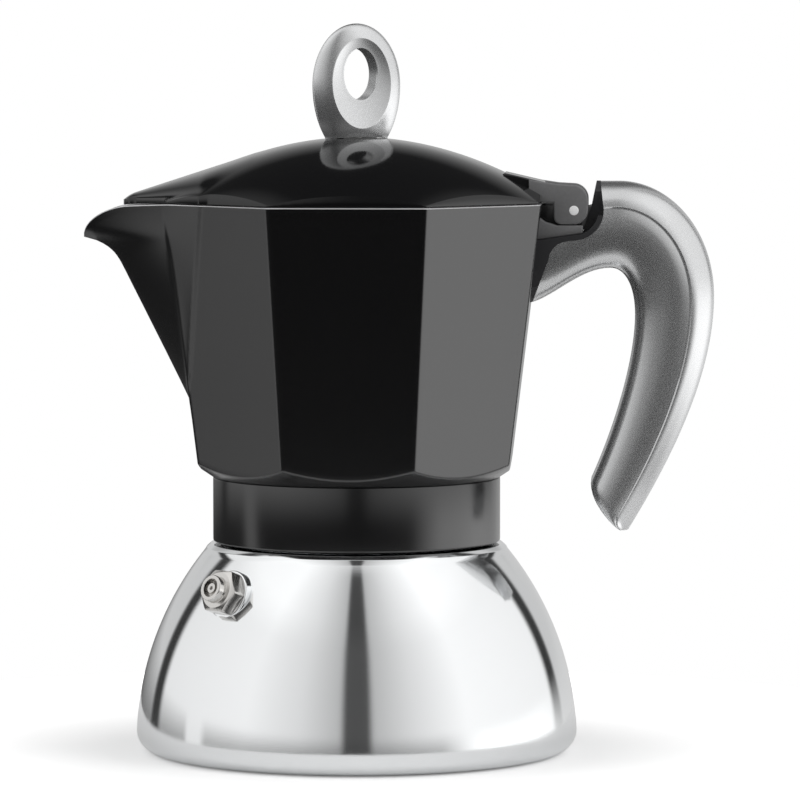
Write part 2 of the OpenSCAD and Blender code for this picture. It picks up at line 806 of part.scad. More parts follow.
// Half width and half thickness of the egg, at a share of its height
function knob_a(h) = let (t = (h - knob_mid) / (h > knob_mid ? 1 - knob_mid : knob_mid * 1.16))
    knob_w / 2 * pow(max(0.002, 1 - pow(abs(t), 2.2)), 1 / 2.2);
function knob_b(h) = knob_t / 2 * (h > knob_neck
    ? sqrt(max(0.004, 1 - pow((h - knob_neck) / 0.285, 2.4)))
    : 1 - 0.1 * pow(1 - h / knob_neck, 2));
function superellipse(a, b, z, n, e) = [for (i = [0:n - 1])
    let (t = -360 * i / n, c = cos(t), s = sin(t))
    [a * sign(c) * pow(abs(c), 2 / e), b * sign(s) * pow(abs(s), 2 / e), z]];

module knob() {
    window_z = knob_z + knob_h * 0.56;
    rim_w = knob_w - 3.6;
    rim_h = knob_h - 5.2;
    lift = (knob_h * 0.49 - knob_h * 0.56);
    levels = [0, 0.06, 0.16, 0.28, 0.4, 0.51, 0.62, 0.72, 0.81, 0.88, 0.94, 0.975, 1];
    color("darkgray")
        difference() {
            rotate([0, 0, knob_turn])
                difference() {
                    translate([0, 0, knob_z])
                        skin([for (t = levels) superellipse(knob_a(t), knob_b(t), t * knob_h, 36, 2.6)]);
                    translate([0, 0, window_z])
                        rotate([90, 0, 0])
                            skin([for (i = [-5:5]) let (d = i / 5, k = pow(abs(d), 3))
                                [for (j = [0:31]) let (t = -360 * j / 32)
                                    [lerp(window_w, rim_w, k) / 2 * cos(t),
                                        lerp(window_h, rim_h, k) / 2 * sin(t) + lift * k,
                                        d * (knob_t / 2 + 0.3)]]]);
                }
            translate([0, 0, knob_z - 1])
                cylinder(h = 8, d = knob_screw_d + 2 * pin_gap);
        }
}

module knob_washer() {
    color("black")
        translate([0, 0, pad_z])
            difference() {
                cylinder(h = washer_t, r = 5);
                translate([0, 0, -1])
                    cylinder(h = 3, d = knob_screw_d + 2 * pin_gap);
            }
}

module knob_screw() {
    head_z = crown_z - lid_t;
    color("silver")
        difference() {
            union() {
                translate([0, 0, head_z - 2.4])
                    cylinder(h = 2.2, r = knob_screw_d);
                translate([0, 0, head_z - 1])
                    cylinder(h = knob_z + 6.6 - head_z + 1, d = knob_screw_d);
            }
            translate([-far / 2, -0.5, head_z - 3.4])
                cube([far, 1, 2]);
        }
}

// ---- Hinge pin ----

module hinge_pin() {
    color("whitesmoke")
        translate([pin_x, hinge_w / 2 + 0.1, pin_z])
            rotate([90, 0, 0])
                cylinder(h = hinge_w + 0.2, r = pin_r);
}

// ---- Handle ----

root_x = half_af(rim_z) - 3;
// Back and inner edge in side view: matching curve pieces, as shares of the handle's reach and drop
outer_edge = [
    [[0.089, 0], [0.223, 0], [0.358, 0], [0.499, 0]],
    [[0.499, 0], [0.763, 0.005], [1, 0.141], [1, 0.33]],
    [[1, 0.33], [1, 0.525], [0.83, 0.748], [0.54, 1]],
    [[0.54, 1], [0.531, 1.005], [0.517, 1.006], [0.504, 1.002]]];
inner_edge = [
    [[-0.027, 0.351], [0.115, 0.344], [0.26, 0.248], [0.439, 0.248]],
    [[0.439, 0.248], [0.517, 0.248], [0.571, 0.3], [0.571, 0.382]],
    [[0.571, 0.382], [0.571, 0.535], [0.428, 0.748], [0.336, 0.854]],
    [[0.336, 0.854], [0.318, 0.901], [0.394, 0.96], [0.472, 0.993]]];
function in_grip(p) = [lerp(root_x, handle_reach, p[0]), lerp(handle_top_z, handle_tip_z, p[1])];
edge_steps = [6, 9, 9, 3];

// Half of the grip's section: place across the thickness (-1 inner, 1 back) and share of the half width
grip_section = [[-1, 0], [-1, 0.45], [-0.92, 0.72], [-0.74, 0.9], [-0.45, 0.98], [0, 1],
    [0.4, 0.97], [0.62, 0.8], [0.84, 0.56], [1, 0.28], [1, 0]];

function grip_ring(piece, t, share) =
    let (o = in_grip(bezier(outer_edge[piece], t)), i = in_grip(bezier(inner_edge[piece], t)),
        w = lerp(handle_w, handle_tip_w, share) / 2, mid = (o + i) / 2, reach = (o - i) / 2,
        n = len(grip_section))
    [for (k = [0:2 * n - 3])
        let (back = k < n, s = back ? grip_section[k] : grip_section[2 * n - 2 - k])
        [mid[0] + reach[0] * s[0], (back ? -1 : 1) * w * s[1], mid[1] + reach[1] * s[0]]];

module grip_solid() {
    starts = [0, edge_steps[0], edge_steps[0] + edge_steps[1], edge_steps[0] + edge_steps[1] + edge_steps[2]];
    total = starts[3] + edge_steps[3];
    skin([for (piece = [0:3], i = [piece == 0 ? 0 : 1:edge_steps[piece]])
        grip_ring(piece, i / edge_steps[piece], (starts[piece] + i) / total)]);
}

// Side view of what the silver grip leaves to the hinge, the liner and the pot
module shell_edge() {
    corner_r = 4.85;
    corner = [pin_x - 1.3, pin_z - 12.3];
    low_z = rim_z - 24;
    seat_z = rim_z - 15;
    translate([pin_x, pin_z])
        circle(r = shell_r);
    polygon(concat([[0, 0], [half_af(low_z) - 0.4, low_z - 3], [half_af(low_z) + seat_t / 5, low_z],
        [half_af(seat_z) + seat_t * 0.93, seat_z]],
        arc(corner[0], corner[1], corner_r, 176, 98, 6),
        [[pin_x, pin_z - shell_r], [pin_x, pin_z], [pin_x + shell_r, pin_z + 1.4],
            [pin_x + shell_r - 0.8, handle_top_z], [pin_x + shell_r - 0.8, far], [0, far]]));
}

// Side view of the room for the bracket and the turning ears
module ear_room() {
    translate([pin_x, pin_z])
        circle(r = shell_r - liner_t);
    polygon([[0, bracket_low(0)], [bracket_x + pin_gap, bracket_low(bracket_x)],
        [bracket_x + pin_gap, pin_z - 1.2], [pin_x + shell_r, pin_z - 1.2],
        [pin_x + shell_r, handle_top_z + 1], [0, handle_top_z + 1]]);
}

// Side view of the room for the knuckle, in front of the liner's middle web
module knuckle_room() {
    polygon([[0, bracket_low(0)], [bracket_x + pin_gap, bracket_low(bracket_x)],
        [bracket_x + 0.2, pin_z - 4.2], [pin_x + knuckle_r + 0.7, pin_z + 0.5],
        [pin_x + shell_r - 1.8, handle_top_z],
        [pin_x + shell_r - 1.8, handle_top_z + 1], [0, handle_top_z + 1]]);
}

module handle_holes() {
    octagon(foot_af, foot_z, top_af, rim_z);
    translate([0, -handle_lug_w / 2 - pin_gap, handle_lug_z])
        cube([handle_lug_x + 0.1, handle_lug_w + 2 * pin_gap, handle_lug_h + 0.1]);
    translate([handle_screw_x, 0, handle_head_z - handle_bore])
        cylinder(h = handle_bore + handle_lug_h, d = handle_screw_d + 2 * pin_gap);
    translate([handle_screw_x, 0, handle_head_z - handle_bore])
        cylinder(h = handle_bore, d = handle_screw_d * 2 + 2 * pin_gap);
}

// Dark seat between the pot and the silver grip, with a web that reaches in between the ears
module handle_liner() {
    color([0.16, 0.16, 0.17])
        difference() {
            intersection() {
                grip_solid();
                across(far)
                    shell_edge();
            }
            handle_holes();
            across(knuckle_w)
                knuckle_room();
            for (side = [-1, 1])
                translate([0, side * (knuckle_w + far) / 2, 0])
                    across(far)
                        ear_room();
        }
}

module handle_grip() {
    color([0.66, 0.67, 0.68])
        difference() {
            grip_solid();
            across(far)
                shell_edge();
            handle_holes();
        }
}

module handle_screw() {
    color("silver")
        difference() {
            union() {
                translate([handle_screw_x, 0, handle_head_z - 1])
                    cylinder(h = handle_lug_h - 1, d = handle_screw_d);
                translate([handle_screw_x, 0, handle_head_z - handle_head_t])
                    cylinder(h = handle_head_t, d = handle_screw_d * 2);
            }
            translate([handle_screw_x - far / 2, -0.4, handle_head_z - handle_head_t - 1])
                cube([far, 0.8, 1.8]);
        }
}

boiler();
valve_washer();
valve_body();
valve_nut();
valve_stem();
valve_spring();
valve_clip();
funnel_bowl();
funnel_tube();
funnel_sieve();
filter_plate();
gasket_ring();
collar();
collector();
coffee_column();
lid();
knob();
knob_washer();
knob_screw();
hinge_pin();
handle_liner();
handle_grip();
handle_screw();
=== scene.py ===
"""Looks of the moka pot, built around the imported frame. Metres, +Z up, handle at +X, front facet at -Y."""

import json
import math

import bmesh
import bpy
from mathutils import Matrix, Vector


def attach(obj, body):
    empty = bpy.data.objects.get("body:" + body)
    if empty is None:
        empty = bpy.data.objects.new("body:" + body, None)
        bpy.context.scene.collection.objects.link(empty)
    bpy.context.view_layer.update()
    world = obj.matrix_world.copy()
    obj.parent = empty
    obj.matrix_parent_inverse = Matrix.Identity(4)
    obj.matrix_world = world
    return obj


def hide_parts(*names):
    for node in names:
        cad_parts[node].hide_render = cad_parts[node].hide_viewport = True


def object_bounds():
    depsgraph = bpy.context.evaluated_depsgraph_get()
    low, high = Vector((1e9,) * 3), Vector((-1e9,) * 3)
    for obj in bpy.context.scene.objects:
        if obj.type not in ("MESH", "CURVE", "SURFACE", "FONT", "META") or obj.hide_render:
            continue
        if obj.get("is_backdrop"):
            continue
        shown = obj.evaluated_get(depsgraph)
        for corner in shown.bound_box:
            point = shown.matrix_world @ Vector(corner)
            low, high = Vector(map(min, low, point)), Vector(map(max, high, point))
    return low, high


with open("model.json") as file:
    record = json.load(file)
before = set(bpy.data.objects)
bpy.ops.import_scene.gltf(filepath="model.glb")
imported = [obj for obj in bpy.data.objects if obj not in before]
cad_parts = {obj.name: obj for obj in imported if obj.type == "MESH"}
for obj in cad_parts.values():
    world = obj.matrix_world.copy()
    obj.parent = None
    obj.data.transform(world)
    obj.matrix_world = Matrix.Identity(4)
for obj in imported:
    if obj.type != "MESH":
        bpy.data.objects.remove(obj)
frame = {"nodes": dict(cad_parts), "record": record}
cad_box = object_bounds()
nodes = frame["nodes"]
MM = 0.001


# ---- Camera ----

CAMERA_AZIMUTH = math.radians(2.95)
CAMERA_DISTANCE = 1.35
CAMERA_HEIGHT = 0.17994
CAMERA_PITCH = math.radians(3.99)
CAMERA_YAW = math.radians(0.45)
SENSOR = 36.0
LENS = 249.18


def make_camera():
    data = bpy.data.cameras.new("camera")
    data.sensor_width = SENSOR
    data.lens = LENS
    data.clip_start = 0.05
    data.clip_end = 50
    cam = bpy.data.objects.new("camera", data)
    bpy.context.scene.collection.objects.link(cam)
    cam.location = (
        CAMERA_DISTANCE * math.sin(CAMERA_AZIMUTH),
        -CAMERA_DISTANCE * math.cos(CAMERA_AZIMUTH),
        CAMERA_HEIGHT,
    )
    heading = -CAMERA_AZIMUTH + CAMERA_YAW
    forward = Vector((
        math.sin(heading) * math.cos(CAMERA_PITCH),
        math.cos(heading) * math.cos(CAMERA_PITCH),
        -math.sin(CAMERA_PITCH),
    ))
    cam.rotation_euler = forward.to_track_quat("-Z", "Y").to_euler()
    bpy.context.scene.camera = cam


# ---- Node helpers ----


class Graph:
    """A short way to write a node tree."""

    def __init__(self, tree):
        self.tree = tree
        self.nodes = tree.nodes
        self.links = tree.links

    def add(self, kind, **values):
        node = self.nodes.new(kind)
        for key, value in values.items():
            setattr(node, key, value)
        return node

    def feed(self, socket, value):
        if isinstance(value, bpy.types.NodeSocket):
            self.links.new(value, socket)
        else:
            socket.default_value = value

    def math(self, op, a, b=None, clamp=False):
        node = self.add("ShaderNodeMath", operation=op, use_clamp=clamp)
        self.feed(node.inputs[0], a)
        if b is not None:
            self.feed(node.inputs[1], b)
        return node.outputs[0]

    def average(self, a, b):
        return self.math("MULTIPLY", self.math("ADD", a, b), 0.5)

    def radius(self, x, y):
        return self.math("SQRT", self.math("ADD", self.math("MULTIPLY", x, x), self.math("MULTIPLY", y, y)))

    def climb(self, value, start, slope):
        """From 0 at start up to 1, by a slope."""
        return self.math("MULTIPLY", self.math("SUBTRACT", value, start), slope, clamp=True)

    def ramp(self, value, stops):
        node = self.add("ShaderNodeValToRGB")
        el = node.color_ramp.elements
        while len(el) > 1:
            el.remove(el[-1])
        el[0].position = stops[0][0]
        el[0].color = as_rgba(stops[0][1])
        for pos, col in stops[1:]:
            el.new(pos).color = as_rgba(col)
        self.feed(node.inputs[0], value)
        return node.outputs[0]

    def mix(self, factor, a, b):
        node = self.add("ShaderNodeMix", data_type="RGBA")
        self.feed(node.inputs[0], factor)
        for socket, colour in ((node.inputs[6], a), (node.inputs[7], b)):
            self.feed(socket, colour if isinstance(colour, bpy.types.NodeSocket) else as_rgba(colour))
        return node.outputs[2]

    def span(self, value, low, high):
        node = self.add("ShaderNodeMapRange")
        self.feed(node.inputs[0], value)
        node.inputs[3].default_value = low
        node.inputs[4].default_value = high
        return node.outputs[0]

    def vector(self, x, y, z):
        node = self.add("ShaderNodeCombineXYZ")
        for i, v in enumerate((x, y, z)):
            self.feed(node.inputs[i], v)
        return node.outputs[0]

    def split(self, vector):
        node = self.add("ShaderNodeSeparateXYZ")
        self.feed(node.inputs[0], vector)
        return node.outputs

    def noise(self, vector, scale, detail=2.0, rough=0.5):
        node = self.add("ShaderNodeTexNoise")
        self.feed(node.inputs["Vector"], vector)
        node.inputs["Scale"].default_value = scale
        node.inputs["Detail"].default_value = detail
        node.inputs["Roughness"].default_value = rough
        return node.outputs["Fac"]

    def bump(self, height, strength, distance):
        node = self.add("ShaderNodeBump")
        node.inputs["Strength"].default_value = strength
        node.inputs["Distance"].default_value = distance
        self.feed(node.inputs["Height"], height)
        return node.outputs[0]

    def place(self):
        return self.add("ShaderNodeTexCoord").outputs["Object"]


def as_rgba(c):
    return (c, c, c, 1.0) if isinstance(c, (int, float)) else (*c, 1.0)


def material(name, metallic=0.0):
    """A Principled material, with its graph and its shader."""
    mat = bpy.data.materials.new(name)
    mat.use_nodes = True
    g = Graph(mat.node_tree)
    shader = next(n for n in g.nodes if n.type == "BSDF_PRINCIPLED")
    shader.inputs["Metallic"].default_value = metallic
    return mat, g, shader


# ---- Materials ----


def tones(colour, share):
    """A darker and a lighter tone of a colour."""
    return tuple(v * (1 - share) for v in colour), tuple(min(1.0, v * (1 + share)) for v in colour)


def dress(g, shader, colour, rough, height, strength, depth):
    g.feed(shader.inputs["Base Color"], colour)
    g.feed(shader.inputs["Roughness"], rough)
    g.feed(shader.inputs["Normal"], g.bump(height, strength, depth))


def turned_metal(name, colour, rough, line_scale, spread=0.05, aniso=0.0):
    """Metal turned round the Z axis: fine rings that vary with the height and slowly round the axis."""
    mat, g, s = material(name, 1.0)
    x, y, z = g.split(g.place())
    angle = g.math("ARCTAN2", y, x)
    across = g.math("ADD", z, g.math("MULTIPLY", g.radius(x, y), 0.6))
    lines = g.noise(g.vector(g.math("MULTIPLY", angle, 0.002), 0.0, across), line_scale, 3.0, 0.65)
    cloud = g.noise(g.place(), 28.0, 3.0)
    shares = g.math("ADD", g.math("MULTIPLY", lines, 0.7), g.math("MULTIPLY", cloud, 0.3))
    gloss = g.span(g.average(lines, cloud), rough - spread, rough + spread)
    dress(g, s, g.mix(shares, *tones(colour, 0.03)), gloss, lines, 0.35, 0.00001)
    if aniso:
        s.inputs["Anisotropic"].default_value = aniso
        s.inputs["Anisotropic Rotation"].default_value = 0.25
        tangent = g.add("ShaderNodeTangent", direction_type="RADIAL", axis="Z")
        g.feed(s.inputs["Tangent"], tangent.outputs[0])
    return mat


def coating(name, colour, rough, spread, grain, depth, specular=0.5):
    """A baked coating: even colour with a very fine grain and slow clouds in its gloss."""
    mat, g, s = material(name)
    s.inputs["Specular IOR Level"].default_value = specular
    fine = g.noise(g.place(), grain, 2.0, 0.6)
    gloss = g.span(g.noise(g.place(), 22.0, 3.0), rough - spread, rough + spread)
    dress(g, s, g.mix(fine, *tones(colour, 0.14)), gloss, fine, 0.25, depth)
    return mat


def metallic_paint(name, colour, rough, metallic):
    """Silver lacquer: tiny flakes that differ in brightness under a satin skin."""
    mat, g, s = material(name, metallic)
    cells = g.add("ShaderNodeTexVoronoi")
    g.feed(cells.inputs["Vector"], g.place())
    cells.inputs["Scale"].default_value = 5200.0
    flakes = g.split(cells.outputs["Color"])[0]
    gloss = g.span(g.average(flakes, g.noise(g.place(), 30.0, 3.0)), rough - 0.04, rough + 0.04)
    dress(g, s, g.mix(flakes, *tones(colour, 0.05)), gloss, flakes, 0.05, 0.00001)
    return mat


def soft_plastic(name, colour, rough):
    """Moulded plastic or rubber with a fine matt grain."""
    mat, g, s = material(name)
    fine = g.noise(g.place(), 2600.0, 2.0, 0.6)
    cloud = g.noise(g.place(), 60.0, 3.0)
    gloss = g.span(fine, rough - 0.06, rough + 0.06)
    dress(g, s, g.mix(cloud, *tones(colour, 0.15)), gloss, fine, 0.3, 0.00002)
    return mat


def make_materials():
    black = (0.0035, 0.0035, 0.0038)
    return {
        "steel_brushed": turned_metal("boiler_steel", (0.90, 0.912, 0.92), 0.085, 5200.0, 0.02, aniso=0.5),
        "black_coating": coating("collector_coating", black, 0.22, 0.02, 2400.0, 0.00001, specular=1.0),
        "hinge_coating": coating("hinge_coating", (0.16, 0.16, 0.162), 0.45, 0.05, 1500.0, 0.00003),
        "black_gloss": coating("lid_gloss", (0.006, 0.006, 0.0065), 0.09, 0.02, 900.0, 0.000004),
        "silver_satin": metallic_paint("silver_lacquer", (0.70, 0.705, 0.71), 0.27, 0.88),
        "dark_plastic": soft_plastic("liner_plastic", (0.022, 0.022, 0.024), 0.55),
        "aluminium": turned_metal("aluminium", (0.80, 0.80, 0.81), 0.30, 4200.0),
        "valve_steel": turned_metal("valve_steel", (0.68, 0.665, 0.645), 0.2, 9000.0),
        "valve_brass": turned_metal("valve_brass", (0.72, 0.52, 0.25), 0.28, 9000.0),
        "seal_rubber": soft_plastic("seal_rubber", (0.09, 0.09, 0.09), 0.6),
        "silicone": soft_plastic("silicone", (0.78, 0.78, 0.76), 0.5),
        "bare_metal": turned_metal("bare_metal", (0.66, 0.66, 0.67), 0.36, 3600.0),
        "pin_steel": metallic_paint("pin_steel", (0.98, 0.98, 0.98), 0.42, 0.0),
    }


def paint(obj, mat):
    """Give the whole object one material; a mesh without one keeps the marks of its faces."""
    if obj.data.materials:
        obj.data.materials.clear()
    obj.data.materials.append(mat)


# ---- Sizes shared with the solids, in millimetres ----

FOOT_Z, RIM_Z, CONE_Z, CHAMBER_Z, CEILING_Z = 71.2, 134.2, 67.139, 72.3, 69.3
FLAT_K = math.cos(math.radians(22.5))
FOOT_AF, TOP_AF = 81.8 * FLAT_K, 98.2 * FLAT_K
COLLAR_R, COLLAR_IN_R, COLLAR_Z = 35.1, 32.6, 51.4
SPIGOT_R = 33.85
SPOUT_REACH, SPOUT_HALF, TIP_Z, LIP_L, SPOUT_DROP = 66.7, 28.0, 125.8, 12.3, 8.4
KEEL_Z = 82.6
LIP_START, LIP_SAG = 44.0, 1.4
RIM_CHAMFER = 0.2
WALL, LID_WALL = 2.6, 1.8
OUTER_CORNER, INNER_CORNER, LID_CORNER = 1.5, 2.4, 1.6
THREAD_DEPTH, THREAD_PITCH, THREAD_FOOT, THREAD_CREST = 0.75, 3.0, 1.9, 0.7
CROWN_Z, DOME_K, LID_Z = 150.0, 154.0, 134.4
BEAK_END, BEAK_NOSE = 54.0, 2.9
PIN_X, PIN_Z = 53.1, 132.5
HINGE_W, EAR_T, KNUCKLE_R, KNUCKLE_W = 19.0, 3.0, 3.4, 12.2
BELL_R, BELL_CX, BELL_Z, BELL_H = 76.0, -22.01, 1.5, 49.4
SHOULDER_Z, NECK_TOP, NECK_R, NECK_IN_R = 50.9, 63.5, 32.2, 30.0
KNOB_Z, KNOB_H, KNOB_W, KNOB_TURN = 149.9, 27.7, 23.4, 28.0


# ---- Mesh helpers ----


def lerp(a, b, t):
    return a + (b - a) * t


def smooth_max(a, b, k):
    h = max(k - abs(a - b), 0.0) / k
    return max(a, b) + h * h * k / 4


def bisect(func, low, high, steps=26):
    """Place between low and high where func turns from negative to positive."""
    for _ in range(steps):
        mid = (low + high) / 2
        if func(mid) < 0:
            low = mid
        else:
            high = mid
    return (low + high) / 2


def arc(cx, cz, radius, a0, a1, n):
    """Points round a centre from the angle a0 to a1, in degrees."""
    turns = [math.radians(lerp(a0, a1, i / n)) for i in range(n + 1)]
    return [(cx + radius * math.cos(a), cz + radius * math.sin(a)) for a in turns]


def unit(v):
    size = math.hypot(*v) or 1.0
    return (v[0] / size, v[1] / size)


def rounded(points, steps=4):
    """Closed outline of (x, y) or (x, y, radius) points; each rounded corner gives the same count."""
    out = []
    for i, point in enumerate(points):
        p = point[:2]
        radius = point[2] if len(point) > 2 else 0
        if not radius:
            out.append(p)
            continue
        a, b = points[i - 1][:2], points[(i + 1) % len(points)][:2]
        to_a, to_b = (a[0] - p[0], a[1] - p[1]), (b[0] - p[0], b[1] - p[1])
        u, v = unit(to_a), unit(to_b)
        half = math.acos(max(-1.0, min(1.0, u[0] * v[0] + u[1] * v[1]))) / 2
        if half < 0.02 or half > math.pi / 2 - 0.02:
            out.extend([p] * (steps + 1))
            continue
        t = min(radius / math.tan(half), 0.48 * math.hypot(*to_a), 0.48 * math.hypot(*to_b))
        size = t * math.tan(half)
        mid = unit((u[0] + v[0], u[1] + v[1]))
        centre = (p[0] + mid[0] * size / math.sin(half), p[1] + mid[1] * size / math.sin(half))
        start = (p[0] + u[0] * t - centre[0], p[1] + u[1] * t - centre[1])
        end = (p[0] + v[0] * t - centre[0], p[1] + v[1] * t - centre[1])
        turn = math.pi - 2 * half
        for k in range(steps + 1):
            ca, cb = (math.sin(share * turn) / math.sin(turn) for share in (1 - k / steps, k / steps))
            out.append(tuple(centre[m] + start[m] * ca + end[m] * cb for m in (0, 1)))
    return out


def piece(name, verts, faces, body, slot, stands_for=(), sharp=32.0, marks=None):
    """Mesh object from millimetre points; marks gives each face's material index."""
    mesh = bpy.data.meshes.new(name)
    mesh.from_pydata([(x * MM, y * MM, z * MM) for x, y, z in verts], [], faces)
    if marks:
        mesh.polygons.foreach_set("material_index", marks)
    bm = bmesh.new()
    bm.from_mesh(mesh)
    bmesh.ops.remove_doubles(bm, verts=bm.verts, dist=2e-7)
    bmesh.ops.dissolve_degenerate(bm, edges=bm.edges, dist=2e-7)
    bmesh.ops.recalc_face_normals(bm, faces=bm.faces)
    bmesh.ops.delete(bm, geom=[e for e in bm.edges if not e.link_faces], context="EDGES")
    bm.to_mesh(mesh)
    bm.free()
    return finish_piece(name, mesh, body, slot, stands_for, sharp)


def finish_piece(name, mesh, body, slot, stands_for=(), sharp=32.0):
    mesh.polygons.foreach_set("use_smooth", [True] * len(mesh.polygons))
    mesh.set_sharp_from_angle(angle=math.radians(sharp))
    obj = bpy.data.objects.new(name, mesh)
    bpy.context.scene.collection.objects.link(obj)
    paint(obj, finishes[slot])
    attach(obj, body)
    if stands_for:
        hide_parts(*stands_for)
    return obj


def grid(columns, loop_columns=True, row_mark=None):
    """Vertices, faces and marks of a net of equal columns, each of which is a closed loop."""
    rows = len(columns[0])
    verts = [p for column in columns for p in column]
    faces, marks = [], []
    count = len(columns)
    for j in range(count if loop_columns else count - 1):
        a, b = j * rows, ((j + 1) % count) * rows
        for i in range(rows):
            k = (i + 1) % rows
            faces.append((a + i, b + i, b + k, a + k))
            marks.append(row_mark(i) if row_mark else 0)
    return verts, faces, marks


def turned(name, profile, body, slot, stands_for=(), segments=160, place=None, sharp=32.0):
    """Solid of revolution from a closed (r, z[, corner radius]) outline."""
    line = rounded(profile)
    columns = []
    for j in range(segments):
        a = 2 * math.pi * j / segments
        column = [(r * math.cos(a), r * math.sin(a), z) for r, z in line]
        columns.append([place(p) for p in column] if place else column)
    verts, faces, _ = grid(columns)
    return piece(name, verts, faces, body, slot, stands_for, sharp)


def prism(name, outline, y0, y1, body, slot, bevel):
    """Side view in (x, z) carried from y0 to y1, with bevelled edges."""
    mesh = bpy.data.meshes.new(name)
    bm = bmesh.new()
    near = [bm.verts.new((x * MM, y0 * MM, z * MM)) for x, z in outline]
    away = [bm.verts.new((x * MM, y1 * MM, z * MM)) for x, z in outline]
    ends = [bm.faces.new(near), bm.faces.new(list(reversed(away)))]
    n = len(outline)
    for i in range(n):
        bm.faces.new((near[i], near[(i + 1) % n], away[(i + 1) % n], away[i]))
    bmesh.ops.recalc_face_normals(bm, faces=bm.faces)
    border = [e for face in ends for e in face.edges]
    bmesh.ops.bevel(
        bm, geom=border, offset=bevel * MM, segments=3, profile=0.5, affect="EDGES", clamp_overlap=True)
    bm.to_mesh(mesh)
    bm.free()
    return finish_piece(name, mesh, body, slot, sharp=40.0)


# ---- Collector ----


def half_af(z):
    return lerp(FOOT_AF, TOP_AF, (z - FOOT_Z) / (RIM_Z - FOOT_Z)) / 2


def corner_turn(a, radius):
    """Half angle, seen from the axis, of the rounding at an octagon's corner."""
    reach = (a - radius) / FLAT_K
    return math.atan2(radius * math.sin(math.pi / 8), reach + radius * math.cos(math.pi / 8))


def octagon_radius(turn, a, radius):
    step = math.pi / 4
    off = abs(turn - round(turn / step) * step)
    phi = step / 2 - off
    if phi < corner_turn(a, radius):
        reach = (a - radius) / FLAT_K
        return reach * math.cos(phi) + math.sqrt(max(0.0, radius ** 2 - (reach * math.sin(phi)) ** 2))
    return a / math.cos(off)


def facet_x(y, z):
    a = half_af(z)
    return a if abs(y) < a * math.tan(math.pi / 8) else math.sqrt(2) * a - abs(y)


KEEL_TURN, KEEL_OUT = 10.0, 5.9
SPOUT_FLARE, SPOUT_SWELL, SWELL_HEIGHT, NOSE_HALF = 0.5, 3.8, 1.6, 3.0
# What a unit of inset takes off the spout's root, keel and nose, and the inset of the channel in it
ROOT_INSET, KEEL_INSET, NOSE_INSET, CHANNEL_INSET = 1.15, 1.35, 0.6, 2.08
KEEL_LEAN = (SPOUT_REACH - KEEL_OUT - half_af(KEEL_Z)) / (TIP_Z - KEEL_Z)


def keel_line(z):
    """Straight line of the keel, which the spout's sides follow."""
    return half_af(KEEL_Z) + KEEL_LEAN * (z - KEEL_Z)


def keel_x(z):
    """Reach of the spout's nose: the keel turns out into the tip and flares on above it."""
    t = min(1.0, max(0.0, (z - TIP_Z + KEEL_TURN) / KEEL_TURN))
    rise = max(0.0, z - TIP_Z)
    swell = SPOUT_SWELL * (1 - math.exp(-rise / SWELL_HEIGHT))
    return keel_line(min(z, TIP_Z)) + KEEL_OUT * t ** 5 + SPOUT_FLARE * rise + swell


def spout_radius(off, z, inset):
    """Distance from the axis to the spout's side, at an angle from the spout's middle."""
    y0 = lerp(0.53 * SPOUT_HALF, SPOUT_HALF, (z - KEEL_Z) / (RIM_Z - KEEL_Z))
    y0 -= ROOT_INSET * inset
    x0 = facet_x(y0, z) - 0.4 - inset
    side_x, x1 = keel_line(z) - KEEL_INSET * inset, keel_x(z) - KEEL_INSET * inset
    ny = NOSE_HALF - NOSE_INSET * inset
    if off > 1.4:
        return 0.0
    if off >= math.atan2(y0, x0):
        return y0 / math.sin(off)

    def spot(t):
        u = 1 - t
        return u * u * x0 + 2 * t * u * side_x + t * t * x1, u * u * y0 + 2 * t * u * ny

    c, s = math.cos(off), math.sin(off)
    t = bisect(lambda v: spot(v)[0] * s - spot(v)[1] * c, 0.0, 1.0)
    return math.hypot(*spot(t))


def off_spout(turn):
    return abs(turn % (2 * math.pi) - math.pi)


def outer_radius(turn, z):
    r = octagon_radius(turn, half_af(z), OUTER_CORNER)
    off = off_spout(turn)
    return smooth_max(r, spout_radius(off, z, 0.0), 1.0) if off < 1.1 and z > 76 else r


def inner_radius(turn, z):
    r = octagon_radius(turn, half_af(z) - WALL, INNER_CORNER)
    off = off_spout(turn)
    return smooth_max(r, spout_radius(off, z, CHANNEL_INSET), 1.6) if off < 1.1 and z > 86 else r


def lip_z(x):
    """Height of the rim and of the curved lip at a distance towards the spout."""
    sag = LIP_SAG * max(0.0, (x - LIP_START) / (SPOUT_REACH - LIP_START)) ** 1.2
    if x <= SPOUT_REACH - LIP_L:
        return RIM_Z - sag
    c = max(0.0, 1 - (SPOUT_REACH - x) / LIP_L)
    return TIP_Z + (SPOUT_DROP - sag) * math.sqrt(max(0.0, 1 - c * c)) if x < SPOUT_REACH else TIP_Z


def column_turns(a_of_z, radius, dense, plain):
    """Angles round the octagon as functions of the height; the columns follow the rounded corners."""
    turns = []
    for k in range(8):
        corner = math.pi / 8 + k * math.pi / 4
        for s in (-1, -0.5, 0, 0.5, 1):
            turns.append(lambda z, c=corner, s=s: c + s * corner_turn(a_of_z(z), radius))
        for q in dense if k in (2, 3, 4) else plain:
            turns.append(lambda z, c=corner, q=q: lerp(
                c + corner_turn(a_of_z(z), radius), c + math.pi / 4 - corner_turn(a_of_z(z), radius), q))
    return turns


